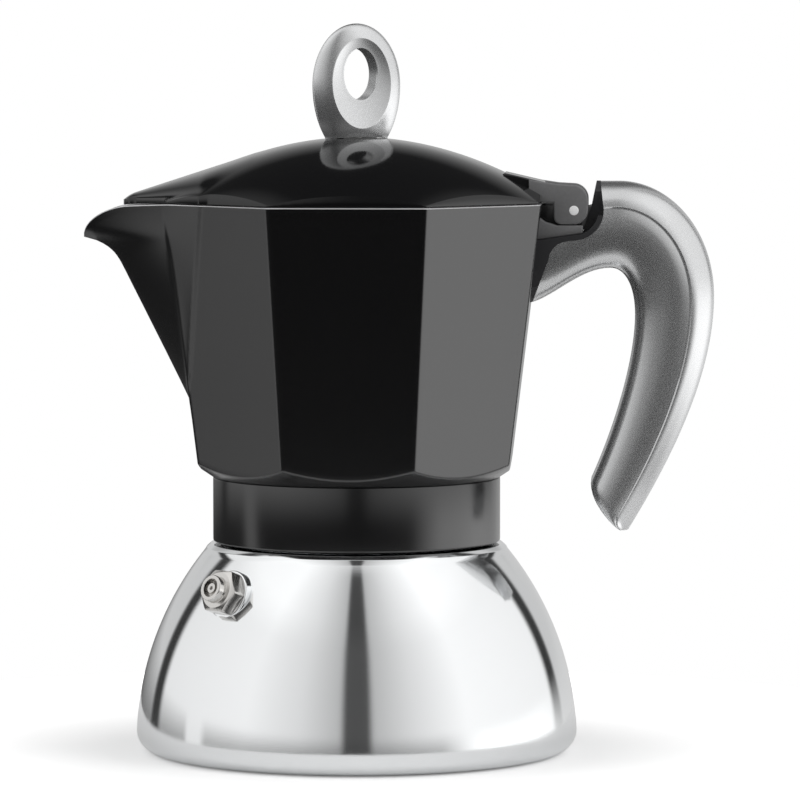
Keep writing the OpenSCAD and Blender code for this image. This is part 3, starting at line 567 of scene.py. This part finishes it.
def make_collector():
    dense = [0.015] + [i / 44 for i in range(1, 44)] + [0.985]
    plain = [0.02] + [i / 12 for i in range(1, 12)] + [0.98]
    cone_k = 1 / math.tan(math.radians(35))
    columns = []
    wall_rows, inside_rows = 72, 44
    for turn in column_turns(half_af, OUTER_CORNER, dense, plain):
        z0 = bisect(lambda z: COLLAR_R + (z - CONE_Z) * cone_k - outer_radius(turn(z), z), CONE_Z, FOOT_Z + 3)

        def side(z, radius):
            r = radius(turn(z), z)
            return r, lip_z(-r * math.cos(turn(z)))

        z1 = bisect(lambda z: z - side(z, outer_radius)[1], TIP_Z - 2, RIM_Z + 0.01)
        z2 = bisect(lambda z: z - side(z, inner_radius)[1], TIP_Z - 2, RIM_Z + 0.01)
        line = [
            (SPIGOT_R + 0.1, CONE_Z), (COLLAR_R - 0.15, CONE_Z, 0.12), (outer_radius(turn(z0), z0), z0, 0.9)]
        for i in range(wall_rows + 1):
            z = lerp(z0 + 1.6, z1 - 1.1, i / wall_rows)
            line.append((outer_radius(turn(z), z), z))
        r1, r2 = outer_radius(turn(z1), z1), inner_radius(turn(z2), z2)
        line.append((r1, z1 - RIM_CHAMFER, 0.06))
        r1 -= RIM_CHAMFER
        line.append((r1, lip_z(-r1 * math.cos(turn(z1))), 0.06))
        for s in (0.25, 0.5, 0.75):
            r = lerp(r1, r2, s)
            line.append((r, lip_z(-r * math.cos(turn(z1)))))
        line.append((r2, z2, 0.32))
        for i in range(inside_rows + 1):
            z = lerp(z2 - 1.2, CHAMBER_Z + 7, i / inside_rows)
            line.append((inner_radius(turn(z), z), z))
        line.append((inner_radius(turn(CHAMBER_Z), CHAMBER_Z) - 1.5, CHAMBER_Z, 4.5))
        line += [(20.0, CHAMBER_Z), (5.9, CHAMBER_Z, 0.2), (5.9, CEILING_Z), (SPIGOT_R + 0.1, CEILING_Z)]
        column = []
        for r, z in rounded(line):
            a = turn(min(max(z, CONE_Z), RIM_Z))
            column.append((r * math.cos(a), r * math.sin(a), z))
        columns.append(column)
    foot_rows, corner_rows = 1, 5
    rim_row = foot_rows + 2 * corner_rows + wall_rows + 1
    verts, faces, marks = grid(columns, row_mark=lambda i: 1 if i >= rim_row else 0)
    shell = piece("collector_shell", verts, faces, "collector", "black_coating", ["collector"], marks=marks)
    shell.data.materials.append(finishes["bare_metal"])


def make_bracket():
    inside_x, block_x = half_af(125.3) - 1.2, half_af(RIM_Z) - 1.6
    yoke_z = PIN_Z - KNUCKLE_R - 0.2

    def under(x):
        return 125.3 + 0.15 * (x - half_af(125.3))

    yoke = rounded([
        (inside_x, under(inside_x)), (PIN_X + 2.2, under(PIN_X + 2.2), 0.5), (PIN_X + 2.2, yoke_z, 0.4),
        (PIN_X - 4, yoke_z, 1.2), (PIN_X - 6.8, yoke_z + 0.8, 1.2),
        (half_af(yoke_z + 1.9) - 0.2, yoke_z + 1.9), (inside_x, yoke_z + 1.9)])
    prism("hinge_yoke", yoke, -HINGE_W / 2, HINGE_W / 2, "collector", "hinge_coating", bevel=0.4)
    knuckle = [(block_x, yoke_z - 1), (PIN_X, yoke_z - 1)] + arc(PIN_X, PIN_Z, KNUCKLE_R, -90, 156, 20)
    knuckle += [(PIN_X - KNUCKLE_R, RIM_Z - 0.2), (block_x, RIM_Z - 0.2)]
    prism("hinge_knuckle", knuckle, -KNUCKLE_W / 2, KNUCKLE_W / 2, "collector", "black_coating", bevel=0.35)
    web = arc(PIN_X, PIN_Z, KNUCKLE_R - 0.2, -64, 14, 12) + arc(PIN_X, PIN_Z, 5.7, 14, -64, 12)
    web_half = KNUCKLE_W / 2 - 0.3
    prism("hinge_web", web, -web_half, web_half, "collector", "hinge_coating", bevel=0.3)


# ---- Lid ----


def dome_z(r):
    return CROWN_Z - r * r / DOME_K


# The beak's ridge is a tangent of the dome: where it touches, and where the beak starts
BEAK_DROP = 13.5
BEAK_TOUCH = BEAK_END - math.sqrt(BEAK_END ** 2 - DOME_K * BEAK_DROP)
BEAK_START = BEAK_TOUCH - 4.5
BEAK_ROOT = facet_x(SPOUT_HALF, RIM_Z)
BEAK_HALF = 5.4


def beak_width(x):
    if x < BEAK_ROOT:
        return SPOUT_HALF + (BEAK_ROOT - x) * 0.35
    if x < BEAK_END:
        return lerp(SPOUT_HALF, BEAK_HALF, (x - BEAK_ROOT) / (BEAK_END - BEAK_ROOT))
    return BEAK_HALF * math.sqrt(max(0.0, 1 - ((x - BEAK_END) / BEAK_NOSE) ** 2))


def beak_z(x, y):
    """Height of the beak's arched top, or None outside it; it sinks into the dome before it touches."""
    w = beak_width(x)
    if x < BEAK_START or w <= 0 or abs(y) >= w + 0.6:
        return None
    if x < BEAK_TOUCH:
        ridge = dome_z(x) - 0.06 * (BEAK_TOUCH - x) ** 2
    else:
        ridge = dome_z(BEAK_TOUCH) - (x - BEAK_TOUCH) * 2 * BEAK_TOUCH / DOME_K
    share = min(1.0, (x - BEAK_START) / (BEAK_END - BEAK_START))
    edge = LID_Z + 0.7 * lerp(1, 0.8, share)
    z = edge + (ridge - edge) * max(0.0, 1 - (y / w) ** 2) ** 0.625
    if x > BEAK_END:
        z = lerp(LID_Z, z, math.sqrt(max(0.0, 1 - ((x - BEAK_END) / BEAK_NOSE) ** 2)))
    return z


def lid_top(x, y):
    z = dome_z(math.hypot(x, y))
    rise = beak_z(-x, y)
    if rise is not None:
        z = smooth_max(z, rise, 0.3)
    return max(z, LID_Z + 0.35)


LID_A = half_af(RIM_Z) - 0.45


def lid_edge(turn):
    """Reach of the lid's edge: the octagon, or the beak where that goes further."""
    r = octagon_radius(turn, LID_A, LID_CORNER)
    off = off_spout(turn)
    if off < 1.0:
        end = BEAK_END + BEAK_NOSE - 0.01

        def beyond(v):
            x = v * math.cos(off)
            return v * math.sin(off) - beak_width(x) if x < end else 1.0

        r = smooth_max(r, bisect(beyond, 20.0, 57.0), 1.2)
    return r


def make_lid():
    dense = [0.015] + [i / 48 for i in range(1, 48)] + [0.985]
    plain = [0.02] + [i / 14 for i in range(1, 14)] + [0.98]
    rows = 56
    columns = []
    lip_a = LID_A - 3.0
    for turn_at in column_turns(lambda z: LID_A, LID_CORNER, dense, plain):
        turn = turn_at(0)
        c, s = math.cos(turn), math.sin(turn)
        edge = lid_edge(turn)
        line = [(2.05, CROWN_Z - 0.6), (7.45, CROWN_Z - 0.6, 0.1), (7.6, dome_z(7.6), 0.25)]
        for i in range(1, rows + 1):
            r = lerp(7.6, edge - 0.05, math.sin(math.pi / 2 * i / (rows + 1)))
            line.append((r, lid_top(r * c, r * s)))
        top = lid_top((edge - 0.2) * c, (edge - 0.2) * s)
        low = min(LID_Z, lip_z(-edge * c) + 0.2)
        line.append((edge, top, 0.3))
        line.append((edge, low, 0.2))
        lip = octagon_radius(turn, lip_a, LID_CORNER)
        if -lip * c < 27:
            inner = lip - LID_WALL
            line += [(lip, LID_Z, 0.1), (lip, LID_Z - LID_WALL, 0.3), (inner, LID_Z - LID_WALL, 0.3)]
        else:
            inner = min(edge - LID_WALL, BEAK_END)
            line += [(edge - 0.9, low, 0.1), (edge - 1.2, LID_Z, 0.3), (inner, LID_Z, 0.3)]
        for i in range(25):
            r = lerp(inner, 2.05, i / 24)
            line.append((r, max(lid_top(r * c, r * s) - LID_WALL, LID_Z + 0.2)))
        columns.append([(r * c, r * s, z) for r, z in rounded(line)])
    under = 20 + rows
    verts, faces, marks = grid(columns, row_mark=lambda i: 1 if under <= i < len(columns[0]) - 1 else 0)
    shell = piece("lid_shell", verts, faces, "lid", "black_gloss", ["lid"], marks=marks)
    shell.data.materials.append(finishes["bare_metal"])


def make_ears():
    """Two ears that hold the pin, outlined round the pin's centre, and the tail on the dome."""
    rise, heel, corner = 6.1, 1.8, 3.7
    heel_x = -KNUCKLE_R - 1.5
    back = half_af(RIM_Z) - 0.2 - PIN_X
    foot = LID_Z - PIN_Z
    line = [(back - 3, foot), (heel_x, foot, 0.6)]
    line += arc(heel_x + heel, heel - KNUCKLE_R, heel, 180, 270, 8)
    line += arc(0, 0, KNUCKLE_R, -90, 0, 10)
    line += arc(KNUCKLE_R - corner, rise - corner, corner, 0, 90, 10)
    line += [(back + 4, rise + 0.2), (back, rise + 0.8), (back - 3, rise + 1.4)]
    shape = [(PIN_X + p[0], PIN_Z + p[1]) for p in line]
    inner = HINGE_W / 2 - EAR_T
    prism("lid_ear_front", shape, -HINGE_W / 2, -inner, "lid", "hinge_coating", bevel=0.4)
    prism("lid_ear_rear", shape, inner, HINGE_W / 2, "lid", "hinge_coating", bevel=0.4)
    start_x, edge_x = half_af(RIM_Z) - 9, half_af(RIM_Z) - 0.2
    tail = rounded([
        (start_x - 2, dome_z(start_x) - 0.8), (start_x - 2, LID_Z + 2),
        (edge_x - 2, LID_Z + 0.05), (edge_x + 1, LID_Z + 0.05, 0.5),
        (edge_x + 1, PIN_Z + rise + 0.6, 0.5), (start_x, dome_z(start_x) + 0.05)])
    prism("lid_tail", tail, -HINGE_W / 2 + 0.8, HINGE_W / 2 - 0.8, "lid", "black_gloss", bevel=0.5)


# ---- Knob ----

KNOB_AXIS_Z, KNOB_WIDE_Z, KNOB_LOW_REACH = 14.2, 12.74, 18.2
# Ovals on the ring's face, each by its middle's height, half width and half height
FACE_OVAL = (13.2, 7.84, 10.98)
HOLE_OVAL = (15.4, 4.51, 6.3)
HOLE_DEPTH = 2.5
SIDE_POWER = 1.8


def knob_outline(phi):
    """Distance from the knob's middle to its outline, two half ovals that meet at the widest place."""
    c, s = math.cos(phi), math.sin(phi)

    def beyond(r):
        rise = KNOB_AXIS_Z + r * s - KNOB_WIDE_Z
        tall = KNOB_H - KNOB_WIDE_Z if rise > 0 else KNOB_LOW_REACH
        return (r * c / (KNOB_W / 2)) ** 2 + (rise / tall) ** 2 - 1

    return bisect(beyond, 0.0, 30.0)


def oval_reach(phi, centre_z, half_w, half_h):
    """Distance from the knob's middle to an upright oval round it."""
    c, s = math.cos(phi), math.sin(phi)
    drop = centre_z - KNOB_AXIS_Z
    qa = (c / half_w) ** 2 + (s / half_h) ** 2
    qb = -2 * drop * s / half_h ** 2
    qc = (drop / half_h) ** 2 - 1
    return (-qb + math.sqrt(max(0.0, qb * qb - 4 * qa * qc))) / (2 * qa)


def knob_half_loop(phi):
    """Half section at an angle: foot or outline, bulging side, rim, shallow dish and wall of the hole."""
    out = knob_outline(phi)
    face, hole = oval_reach(phi, *FACE_OVAL), oval_reach(phi, *HOLE_OVAL)
    foot = KNOB_AXIS_Z / -math.sin(phi) if math.sin(phi) < -0.3 else 99.0
    rim_w = lerp(3.55, 2.75, (KNOB_AXIS_Z + face * math.sin(phi)) / KNOB_H)
    cut = 0.0
    if out > foot:
        cut = rim_w * (1 - (foot - face) / (out - face)) ** (1 / SIDE_POWER)
    half = [(min(out, foot), 0.0)]
    for i in range(12):
        w = lerp(cut, rim_w, i / 12)
        half.append((min(foot, face + (out - face) * (1 - (w / rim_w) ** SIDE_POWER)), w))
    half.append((face, rim_w, 0.3))
    for i in range(1, 9):
        s = 1 - i / 9
        half.append((lerp(hole, face, s), lerp(HOLE_DEPTH, rim_w, s ** 1.5)))
    half.append((hole, HOLE_DEPTH, 0.07))
    half += [(hole, HOLE_DEPTH * k) for k in (0.6, 0.2)]
    return half


def make_knob():
    foot_half = KNOB_W / 2 * math.sqrt(1 - (KNOB_WIDE_Z / KNOB_LOW_REACH) ** 2)
    corner = math.degrees(math.atan2(KNOB_AXIS_Z, foot_half))
    turns = [float(a) for a in range(-180, 180, 2)]
    for step in (0.0, 0.12, 0.4, 0.9):
        turns += [-corner - step, corner + step - 180]
    ct, st = math.cos(math.radians(KNOB_TURN)), math.sin(math.radians(KNOB_TURN))
    columns = []
    for phi in (math.radians(a) for a in sorted(turns)):
        half = knob_half_loop(phi)
        mirrored = [(p[0], -p[1]) + tuple(p[2:]) for p in reversed(half[1:])]
        column = []
        for r, w in rounded(half + mirrored):
            u, v = r * math.cos(phi), KNOB_AXIS_Z + r * math.sin(phi)
            if v < 0.01:
                v += 0.14 - (u * u + w * w) / DOME_K
            column.append((u * ct - w * st, u * st + w * ct, KNOB_Z + v))
        columns.append(column)
    verts, faces, _ = grid(columns)
    piece("knob_ring", verts, faces, "lid", "silver_satin", ["knob"], sharp=42.0)


# ---- Handle ----

ROOT_X = half_af(RIM_Z) - 3
HANDLE_TOP, HANDLE_TIP, HANDLE_REACH = RIM_Z + 5.2, 54.6, 87.1
OUTER_EDGE = [
    [(0.089, 0), (0.223, 0), (0.358, 0), (0.499, 0)],
    [(0.499, 0), (0.763, 0.005), (1, 0.141), (1, 0.33)],
    [(1, 0.33), (1, 0.525), (0.83, 0.748), (0.54, 1)],
    [(0.54, 1), (0.531, 1.005), (0.517, 1.006), (0.504, 1.002)],
]
INNER_EDGE = [
    [(-0.027, 0.351), (0.115, 0.344), (0.26, 0.248), (0.439, 0.248)],
    [(0.439, 0.248), (0.517, 0.248), (0.571, 0.3), (0.571, 0.382)],
    [(0.571, 0.382), (0.571, 0.535), (0.428, 0.748), (0.336, 0.854)],
    [(0.336, 0.854), (0.318, 0.901), (0.394, 0.96), (0.472, 0.993)],
]
# Half section: place across the thickness (-1 inner, 1 back), share of the half width; the dip is the crease
GRIP_SECTION = [
    (-1, 0), (-1, 0.3), (-0.985, 0.5), (-0.93, 0.68), (-0.83, 0.81), (-0.66, 0.905), (-0.42, 0.965),
    (-0.1, 0.992), (0.14, 0.985), (0.31, 0.962), (0.36, 0.935), (0.40, 0.925), (0.44, 0.945), (0.5, 0.925),
    (0.62, 0.835), (0.76, 0.69), (0.88, 0.53), (0.965, 0.33), (1, 0.14), (1, 0),
]
GRIP_ROOT_W, GRIP_TIP_W = 21, 14


def along(curve, t):
    u = 1 - t
    shares = (u ** 3, 3 * t * u * u, 3 * t * t * u, t ** 3)
    return tuple(sum(k * v for k, v in zip(shares, values)) for values in zip(*curve))


def in_grip(p):
    return lerp(ROOT_X, HANDLE_REACH, p[0]), lerp(HANDLE_TOP, HANDLE_TIP, p[1])


def grip_mesh():
    steps = [18, 30, 36, 10]
    starts = [0, 6 / 27, 15 / 27, 24 / 27, 1]
    rings = []
    for part in range(4):
        for i in range(0 if part == 0 else 1, steps[part] + 1):
            t = i / steps[part]
            o, n = in_grip(along(OUTER_EDGE[part], t)), in_grip(along(INNER_EDGE[part], t))
            w = lerp(GRIP_ROOT_W, GRIP_TIP_W, lerp(starts[part], starts[part + 1], t)) / 2
            mid = ((o[0] + n[0]) / 2, (o[1] + n[1]) / 2)
            reach = ((o[0] - n[0]) / 2, (o[1] - n[1]) / 2)
            half = [(mid[0] + reach[0] * p, -w * s, mid[1] + reach[1] * p) for p, s in GRIP_SECTION]
            rings.append(half + [(x, -y, z) for x, y, z in reversed(half[1:-1])])
    count = len(rings[0])
    verts = [p for ring in rings for p in ring]
    faces = []
    for j in range(len(rings) - 1):
        for i in range(count):
            k = (i + 1) % count
            faces.append((j * count + i, (j + 1) * count + i, (j + 1) * count + k, j * count + k))
    for base in (0, (len(rings) - 1) * count):
        half = count // 2
        for i in range(half):
            a, b, c, d = base + i, base + i + 1, base + (count - i - 1) % count, base + (count - i) % count
            faces.append((a, b, c, d) if len({a, b, c, d}) == 4 else tuple(dict.fromkeys((a, b, c, d))))
    return verts, faces


def raw_object(name, verts, faces):
    mesh = bpy.data.meshes.new(name)
    mesh.from_pydata([(x * MM, y * MM, z * MM) for x, y, z in verts], [], faces)
    bm = bmesh.new()
    bm.from_mesh(mesh)
    bmesh.ops.remove_doubles(bm, verts=bm.verts, dist=2e-7)
    bmesh.ops.recalc_face_normals(bm, faces=bm.faces)
    bm.to_mesh(mesh)
    bm.free()
    obj = bpy.data.objects.new(name, mesh)
    bpy.context.scene.collection.objects.link(obj)
    return obj


def raw_prism(name, low, high):
    """Closed prism between two equal rings of points."""
    n = len(low)
    faces = [tuple(range(n)), tuple(range(2 * n - 1, n - 1, -1))]
    faces += [(i, (i + 1) % n, n + (i + 1) % n, n + i) for i in range(n)]
    return raw_object(name, low + high, faces)


def make_grip():
    """The lofted grip, cut to its liner's line round the hinge and bored for its screw."""
    base = raw_object("grip_blank", *grip_mesh())
    seat_z, low_z = RIM_Z - 15, RIM_Z - 24
    corner = (PIN_X - 1.3, PIN_Z - 12.3)
    shell = 7.2
    edge = [
        (30, low_z - 20), (half_af(low_z) - 0.4, low_z - 3),
        (half_af(low_z) + 0.62, low_z), (half_af(seat_z) + 2.88, seat_z)]
    edge += arc(*corner, 4.85, 176, 98, 12) + arc(PIN_X, PIN_Z, shell, -90, 11, 24)
    edge += [(PIN_X + shell - 0.8, HANDLE_TOP), (PIN_X + shell - 0.8, 170), (30, 170)]
    screw_x, head_z = half_af(RIM_Z - 16.2) + 5.6, RIM_Z - 17.4
    ring = arc(screw_x, 0, 3.05, 0, 351, 39)
    cutters = [
        raw_prism("cut_hinge", [(x, -40, z) for x, z in edge], [(x, 40, z) for x, z in edge]),
        raw_prism("cut_bore", [(x, y, head_z - 14) for x, y in ring], [(x, y, head_z) for x, y in ring]),
    ]
    for cutter in cutters:
        cut = base.modifiers.new("cut", "BOOLEAN")
        cut.operation = "DIFFERENCE"
        cut.solver = "EXACT"
        cut.object = cutter
    bpy.context.view_layer.update()
    graph = bpy.context.evaluated_depsgraph_get()
    mesh = bpy.data.meshes.new_from_object(base.evaluated_get(graph))
    mesh.name = "handle_shell"
    for spare in cutters + [base]:
        bpy.data.objects.remove(spare, do_unlink=True)
    finish_piece("handle_shell", mesh, "collector", "silver_satin", ["handle_grip"], 38.0)


# ---- Boiler, collar, valve and pin ----


def helix(name, core, crest, z0, z1, body, slot):
    """Ridge of a screw thread that runs out at both ends."""
    per_turn = 72
    total = int((z1 - z0) / THREAD_PITCH * per_turn)
    foot, tip = THREAD_FOOT / 2, THREAD_CREST / 2
    columns = []
    for j in range(total + 1):
        a = 2 * math.pi * j / per_turn
        z = z0 + THREAD_PITCH * j / per_turn
        grow = min(1.0, j / 9, (total - j) / 9)
        top = lerp(core, crest, grow)
        back = core + (0.3 if crest < core else -0.3)
        low = [(back, z - foot), (core, z - foot), (top, z - tip)]
        ring = low + [(top, z + tip), (core, z + foot), (back, z + foot)]
        columns.append([(r * math.cos(a), r * math.sin(a), h) for r, h in ring])
    verts, faces, _ = grid(columns, loop_columns=False)
    rows = len(columns[0])
    faces += [tuple(range(rows)), tuple(range(len(verts) - 1, len(verts) - 1 - rows, -1))]
    piece(name, verts, faces, body, slot, sharp=40.0)


def make_boiler():
    foot_r, wall, floor_z = 5.0, 2, 4
    foot_cx = BELL_CX + math.sqrt((BELL_R - foot_r) ** 2 - (foot_r - BELL_Z) ** 2)
    groove = foot_cx - 6
    inner = BELL_R - wall

    def climb(rise, radius):
        return math.degrees(math.asin(rise / radius))

    foot_turn = climb(foot_r - BELL_Z, BELL_R - foot_r)
    core = NECK_R - THREAD_DEPTH
    line = [(0.0, 0), (groove, 0, 0.1), (groove + 0.1, 0.4, 0.15)]
    line += [(groove + 1.1, 0.4, 0.15), (groove + 1.2, 0, 0.1)]
    line += arc(foot_cx, foot_r, foot_r, -90, foot_turn, 14)
    line += arc(BELL_CX, BELL_Z, BELL_R, foot_turn, climb(BELL_H - BELL_Z, BELL_R), 56)[1:]
    line += [(COLLAR_R + 1.6, BELL_H + 0.6, 0.5), (COLLAR_R + 0.6, SHOULDER_Z, 0.35), (core, SHOULDER_Z, 0.3)]
    line += [(core, NECK_TOP - 0.6), (core - 0.2, NECK_TOP, 0.15)]
    line += [(NECK_IN_R, NECK_TOP, 0.3), (NECK_IN_R, SHOULDER_Z - 1.4)]
    line += arc(BELL_CX, BELL_Z, inner, climb(BELL_H - 1 - BELL_Z, inner), climb(7 - BELL_Z, inner), 40)
    line += [(BELL_CX + inner - 3.4, floor_z, 2.0), (0.0, floor_z)]
    turned("boiler_shell", line, "boiler", "steel_brushed", ["boiler"], segments=220, sharp=28.0)
    helix("neck_thread", core, NECK_R, SHOULDER_Z + 1.6, NECK_TOP - 1.0, "boiler", "steel_brushed")


def make_collar():
    wide = COLLAR_IN_R + THREAD_DEPTH
    line = [(wide, COLLAR_Z + 0.5), (wide + 0.5, COLLAR_Z, 0.15), (COLLAR_R, COLLAR_Z, 0.6)]
    line += [(COLLAR_R, CONE_Z, 0.25), (SPIGOT_R, CONE_Z), (SPIGOT_R, CEILING_Z)]
    line += [(COLLAR_IN_R, CEILING_Z), (COLLAR_IN_R, 63.0), (wide, 62.2)]
    turned("collar_ring", line, "collector", "black_coating", ["collar"], segments=200)
    helix("collar_thread", wide, COLLAR_IN_R, COLLAR_Z + 1.4, 62.0, "collector", "bare_metal")


VALVE_Z = BELL_H - 8.4
VALVE_TILT, VALVE_TURN = math.radians(20), math.radians(-132)
VALVE_OUT = BELL_CX + math.sqrt(BELL_R ** 2 - (VALVE_Z - BELL_Z) ** 2)


def at_valve(p):
    """From the valve's own axes, with Z along the valve, to the part."""
    x, y, z = p
    r = VALVE_OUT + z * math.cos(VALVE_TILT) + x * math.sin(VALVE_TILT)
    rise = z * math.sin(VALVE_TILT) - x * math.cos(VALVE_TILT)
    c, s = math.cos(VALVE_TURN), math.sin(VALVE_TURN)
    return r * c - y * s, r * s + y * c, VALVE_Z + rise


def make_valve():
    """Boss and seal on the boiler, and the head: a chamfered hexagon with a bored nose."""
    boss_r, boss_z, skirt_z, hex_z, nose_z, end_z = 6.05, 0.88, 0.95, 1.5, 4.8, 7.0
    boss = [(3.1, -2.9), (boss_r, -2.9), (boss_r, boss_z, 0.4), (3.1, boss_z)]
    turned("valve_boss", boss, "boiler", "steel_brushed", segments=72, place=at_valve)
    seal = [(3.05, 0.9), (4.85, 0.9, 0.1), (4.85, hex_z, 0.1), (3.05, hex_z)]
    turned("valve_seal", seal, "boiler", "seal_rubber", ["valve_washer"], 72, place=at_valve)
    af, edge_r = 5.0, 0.5
    corner = af / math.cos(math.radians(30))
    reach = (af - edge_r) / math.cos(math.pi / 6)
    limit = math.atan2(edge_r * math.sin(math.pi / 6), reach + edge_r * math.cos(math.pi / 6))
    columns = []
    for j in range(180):
        turn = 2 * math.pi * j / 180
        off = abs(turn - round(turn / (math.pi / 3)) * (math.pi / 3))
        phi = math.pi / 6 - off
        if phi < limit:
            r = reach * math.cos(phi) + math.sqrt(max(0.0, edge_r ** 2 - (reach * math.sin(phi)) ** 2))
        else:
            r = af / math.cos(off)
        cut = min(nose_z - 0.1, nose_z - 0.7 + (corner - r) / 1.4 * 0.7)
        line = [(1.4, -8), (3.0, -8, 0.2), (3.0, hex_z), (4.9, hex_z), (4.9, skirt_z), (r, skirt_z, 0.15)]
        line += [(r, cut, 0.15), (corner - 1.4, nose_z, 0.2)]
        line += [(3.2, nose_z, 0.12), (3.2, end_z, 0.3), (2.2, end_z, 0.15), (2.2, -6), (1.4, -6)]
        columns.append([
            at_valve((r * math.cos(turn), r * math.sin(turn), z)) for r, z in rounded(line, steps=3)])
    verts, faces, _ = grid(columns)
    piece("valve_head", verts, faces, "boiler", "valve_steel", ["valve_body"], sharp=30.0)


def make_pin():
    half = HINGE_W / 2 + 0.1

    def place(p):
        return (PIN_X + p[0], p[2], PIN_Z + p[1])

    line = [(0.0, -half), (1.2, -half, 0.25), (1.2, half, 0.25), (0.0, half)]
    turned("pin_turned", line, "collector", "pin_steel", ["hinge_pin"], segments=48, place=place)


# ---- Studio ----

# Brightness of the tent by the angle from the camera's side, in degrees, for four heights and for the shade
TENT_HIGH = [
    (-180, 0.55), (-139, 0.62), (-136, 0.04), (-129, 0.04), (-125, 1.0), (-60, 1.1), (-30, 0.8), (-8, 0.5),
    (-6, 0.06), (6, 0.06), (8, 0.5), (30, 0.8), (60, 1.15), (125, 1.0), (129, 0.04), (136, 0.04), (139, 0.62),
    (180, 0.55),
]
TENT_MIDDLE = [
    (-180, 0.6), (-139, 0.6), (-136, 0.04), (-129, 0.04), (-125, 0.85), (-60, 0.95), (-30, 0.75), (-9, 0.5),
    (-6, 0.08), (6, 0.08), (9, 0.5), (30, 0.75), (60, 1.05), (125, 0.95), (129, 0.04), (136, 0.04),
    (139, 0.6), (180, 0.6),
]
TENT_LOW = [
    (-180, 0.05), (-102, 0.05), (-99.5, 0.8), (-90, 0.8), (-86, 0.05), (-20, 0.02), (20, 0.02), (45, 0.06),
    (70, 1.6), (110, 1.6), (140, 0.8), (180, 0.6),
]
TENT_DEEP, TENT_TOP = 0.05, 0.9
TENT_BEHIND = [(-180, 1.0), (-160, 1.0), (-146, 0.0), (146, 0.0), (160, 1.0), (180, 1.0)]


def make_world():
    """White to the eye; to the object, a pale tent with a dark gap at the camera and two dark flags."""
    world = bpy.data.worlds.new("studio")
    bpy.context.scene.world = world
    world.use_nodes = True
    g = Graph(world.node_tree)
    g.nodes.clear()
    x, y, z = g.split(g.add("ShaderNodeTexCoord").outputs["Generated"])
    azimuth = g.math("ARCTAN2", x, g.math("MULTIPLY", y, -1.0))
    share = g.math("ADD", g.math("DIVIDE", g.math("SUBTRACT", azimuth, CAMERA_AZIMUTH), 2 * math.pi), 0.5)

    def round_tent(stops):
        return g.ramp(share, [(0.5 + deg / 360.0, value) for deg, value in stops])

    high, middle = round_tent(TENT_HIGH), round_tent(TENT_MIDDLE)
    low, behind = round_tent(TENT_LOW), round_tent(TENT_BEHIND)
    walls = g.mix(g.climb(z, -0.12, 5.0), g.mix(g.climb(z, -0.55, 5.0), TENT_DEEP, low), middle)
    around = g.mix(g.climb(z, 0.60, 7.0), walls, high)
    shade = g.math("MULTIPLY", g.math("MULTIPLY", behind, g.climb(z, 0.22, 3.3)), 0.95)
    dome = g.mix(g.climb(z, 0.92, 16.0), g.mix(shade, around, 0.0), TENT_TOP)
    back = g.add("ShaderNodeBackground")
    g.feed(back.inputs["Color"], dome)
    back.inputs["Strength"].default_value = 1.0
    white = g.add("ShaderNodeBackground")
    white.inputs["Color"].default_value = (1, 1, 1, 1)
    white.inputs["Strength"].default_value = 1.0
    mixer = g.add("ShaderNodeMixShader")
    g.feed(mixer.inputs[0], g.add("ShaderNodeLightPath").outputs["Is Camera Ray"])
    g.links.new(back.outputs[0], mixer.inputs[1])
    g.links.new(white.outputs[0], mixer.inputs[2])
    out = g.add("ShaderNodeOutputWorld")
    g.links.new(mixer.outputs[0], out.inputs[0])


FLOOR_R, FADE_START, FADE_WIDTH = 0.17, 0.06, 0.09


def make_floor():
    """A round pale floor, white to the eye away from the object's shadow."""
    mesh = bpy.data.meshes.new("floor")
    bm = bmesh.new()
    bmesh.ops.create_circle(bm, cap_ends=True, radius=FLOOR_R, segments=96)
    bm.to_mesh(mesh)
    bm.free()
    floor = bpy.data.objects.new("floor", mesh)
    floor.location.z = -0.0002
    bpy.context.scene.collection.objects.link(floor)
    mat, g, s = material("floor_paper")
    s.inputs["Roughness"].default_value = 0.9
    grain = g.noise(g.place(), 300.0, 2.0)
    g.feed(s.inputs["Base Color"], g.mix(grain, 0.86, 0.90))
    s.inputs["Specular IOR Level"].default_value = 0.1
    eye = g.add("ShaderNodeLightPath").outputs["Is Camera Ray"]
    x, y, _ = g.split(g.place())
    fade = g.climb(g.radius(x, y), FADE_START, 1 / FADE_WIDTH)
    s.inputs["Emission Color"].default_value = (1, 1, 1, 1)
    glow = g.math("ADD", g.math("MULTIPLY", fade, 0.6), 0.25)
    g.feed(s.inputs["Emission Strength"], g.math("MULTIPLY", eye, glow))
    paint(floor, mat)
    floor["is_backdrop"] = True


def make_lights():
    def area(name, place, aim, size, power):
        data = bpy.data.lights.new(name, "AREA")
        data.shape = "RECTANGLE"
        data.size, data.size_y = size
        data.energy = power
        lamp = bpy.data.objects.new(name, data)
        lamp.location = place
        lamp.rotation_euler = (Vector(aim) - Vector(place)).to_track_quat("-Z", "Y").to_euler()
        lamp.visible_glossy = False
        bpy.context.scene.collection.objects.link(lamp)

    area("key_right", (1.1, -0.75, 0.75), (0, 0, 0.09), (0.7, 0.9), 5.0)
    area("fill_left", (-1.2, -0.6, 0.55), (0, 0, 0.09), (0.7, 0.9), 3.0)


# ---- Build ----

make_camera()
make_world()
make_floor()
make_lights()
finishes = make_materials()
for part in frame["record"]["subparts"]:
    paint(nodes[part["node"]], finishes[part["material_slot"]])
make_boiler()
make_collar()
make_collector()
make_bracket()
make_lid()
make_ears()
make_knob()
make_grip()
make_valve()
make_pin()

bpy.context.scene.view_settings.view_transform = "Standard"


def plain(bounds):
    return [[float(v) for v in corner] for corner in bounds]


{"cad": plain(cad_box), "visual": plain(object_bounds())}
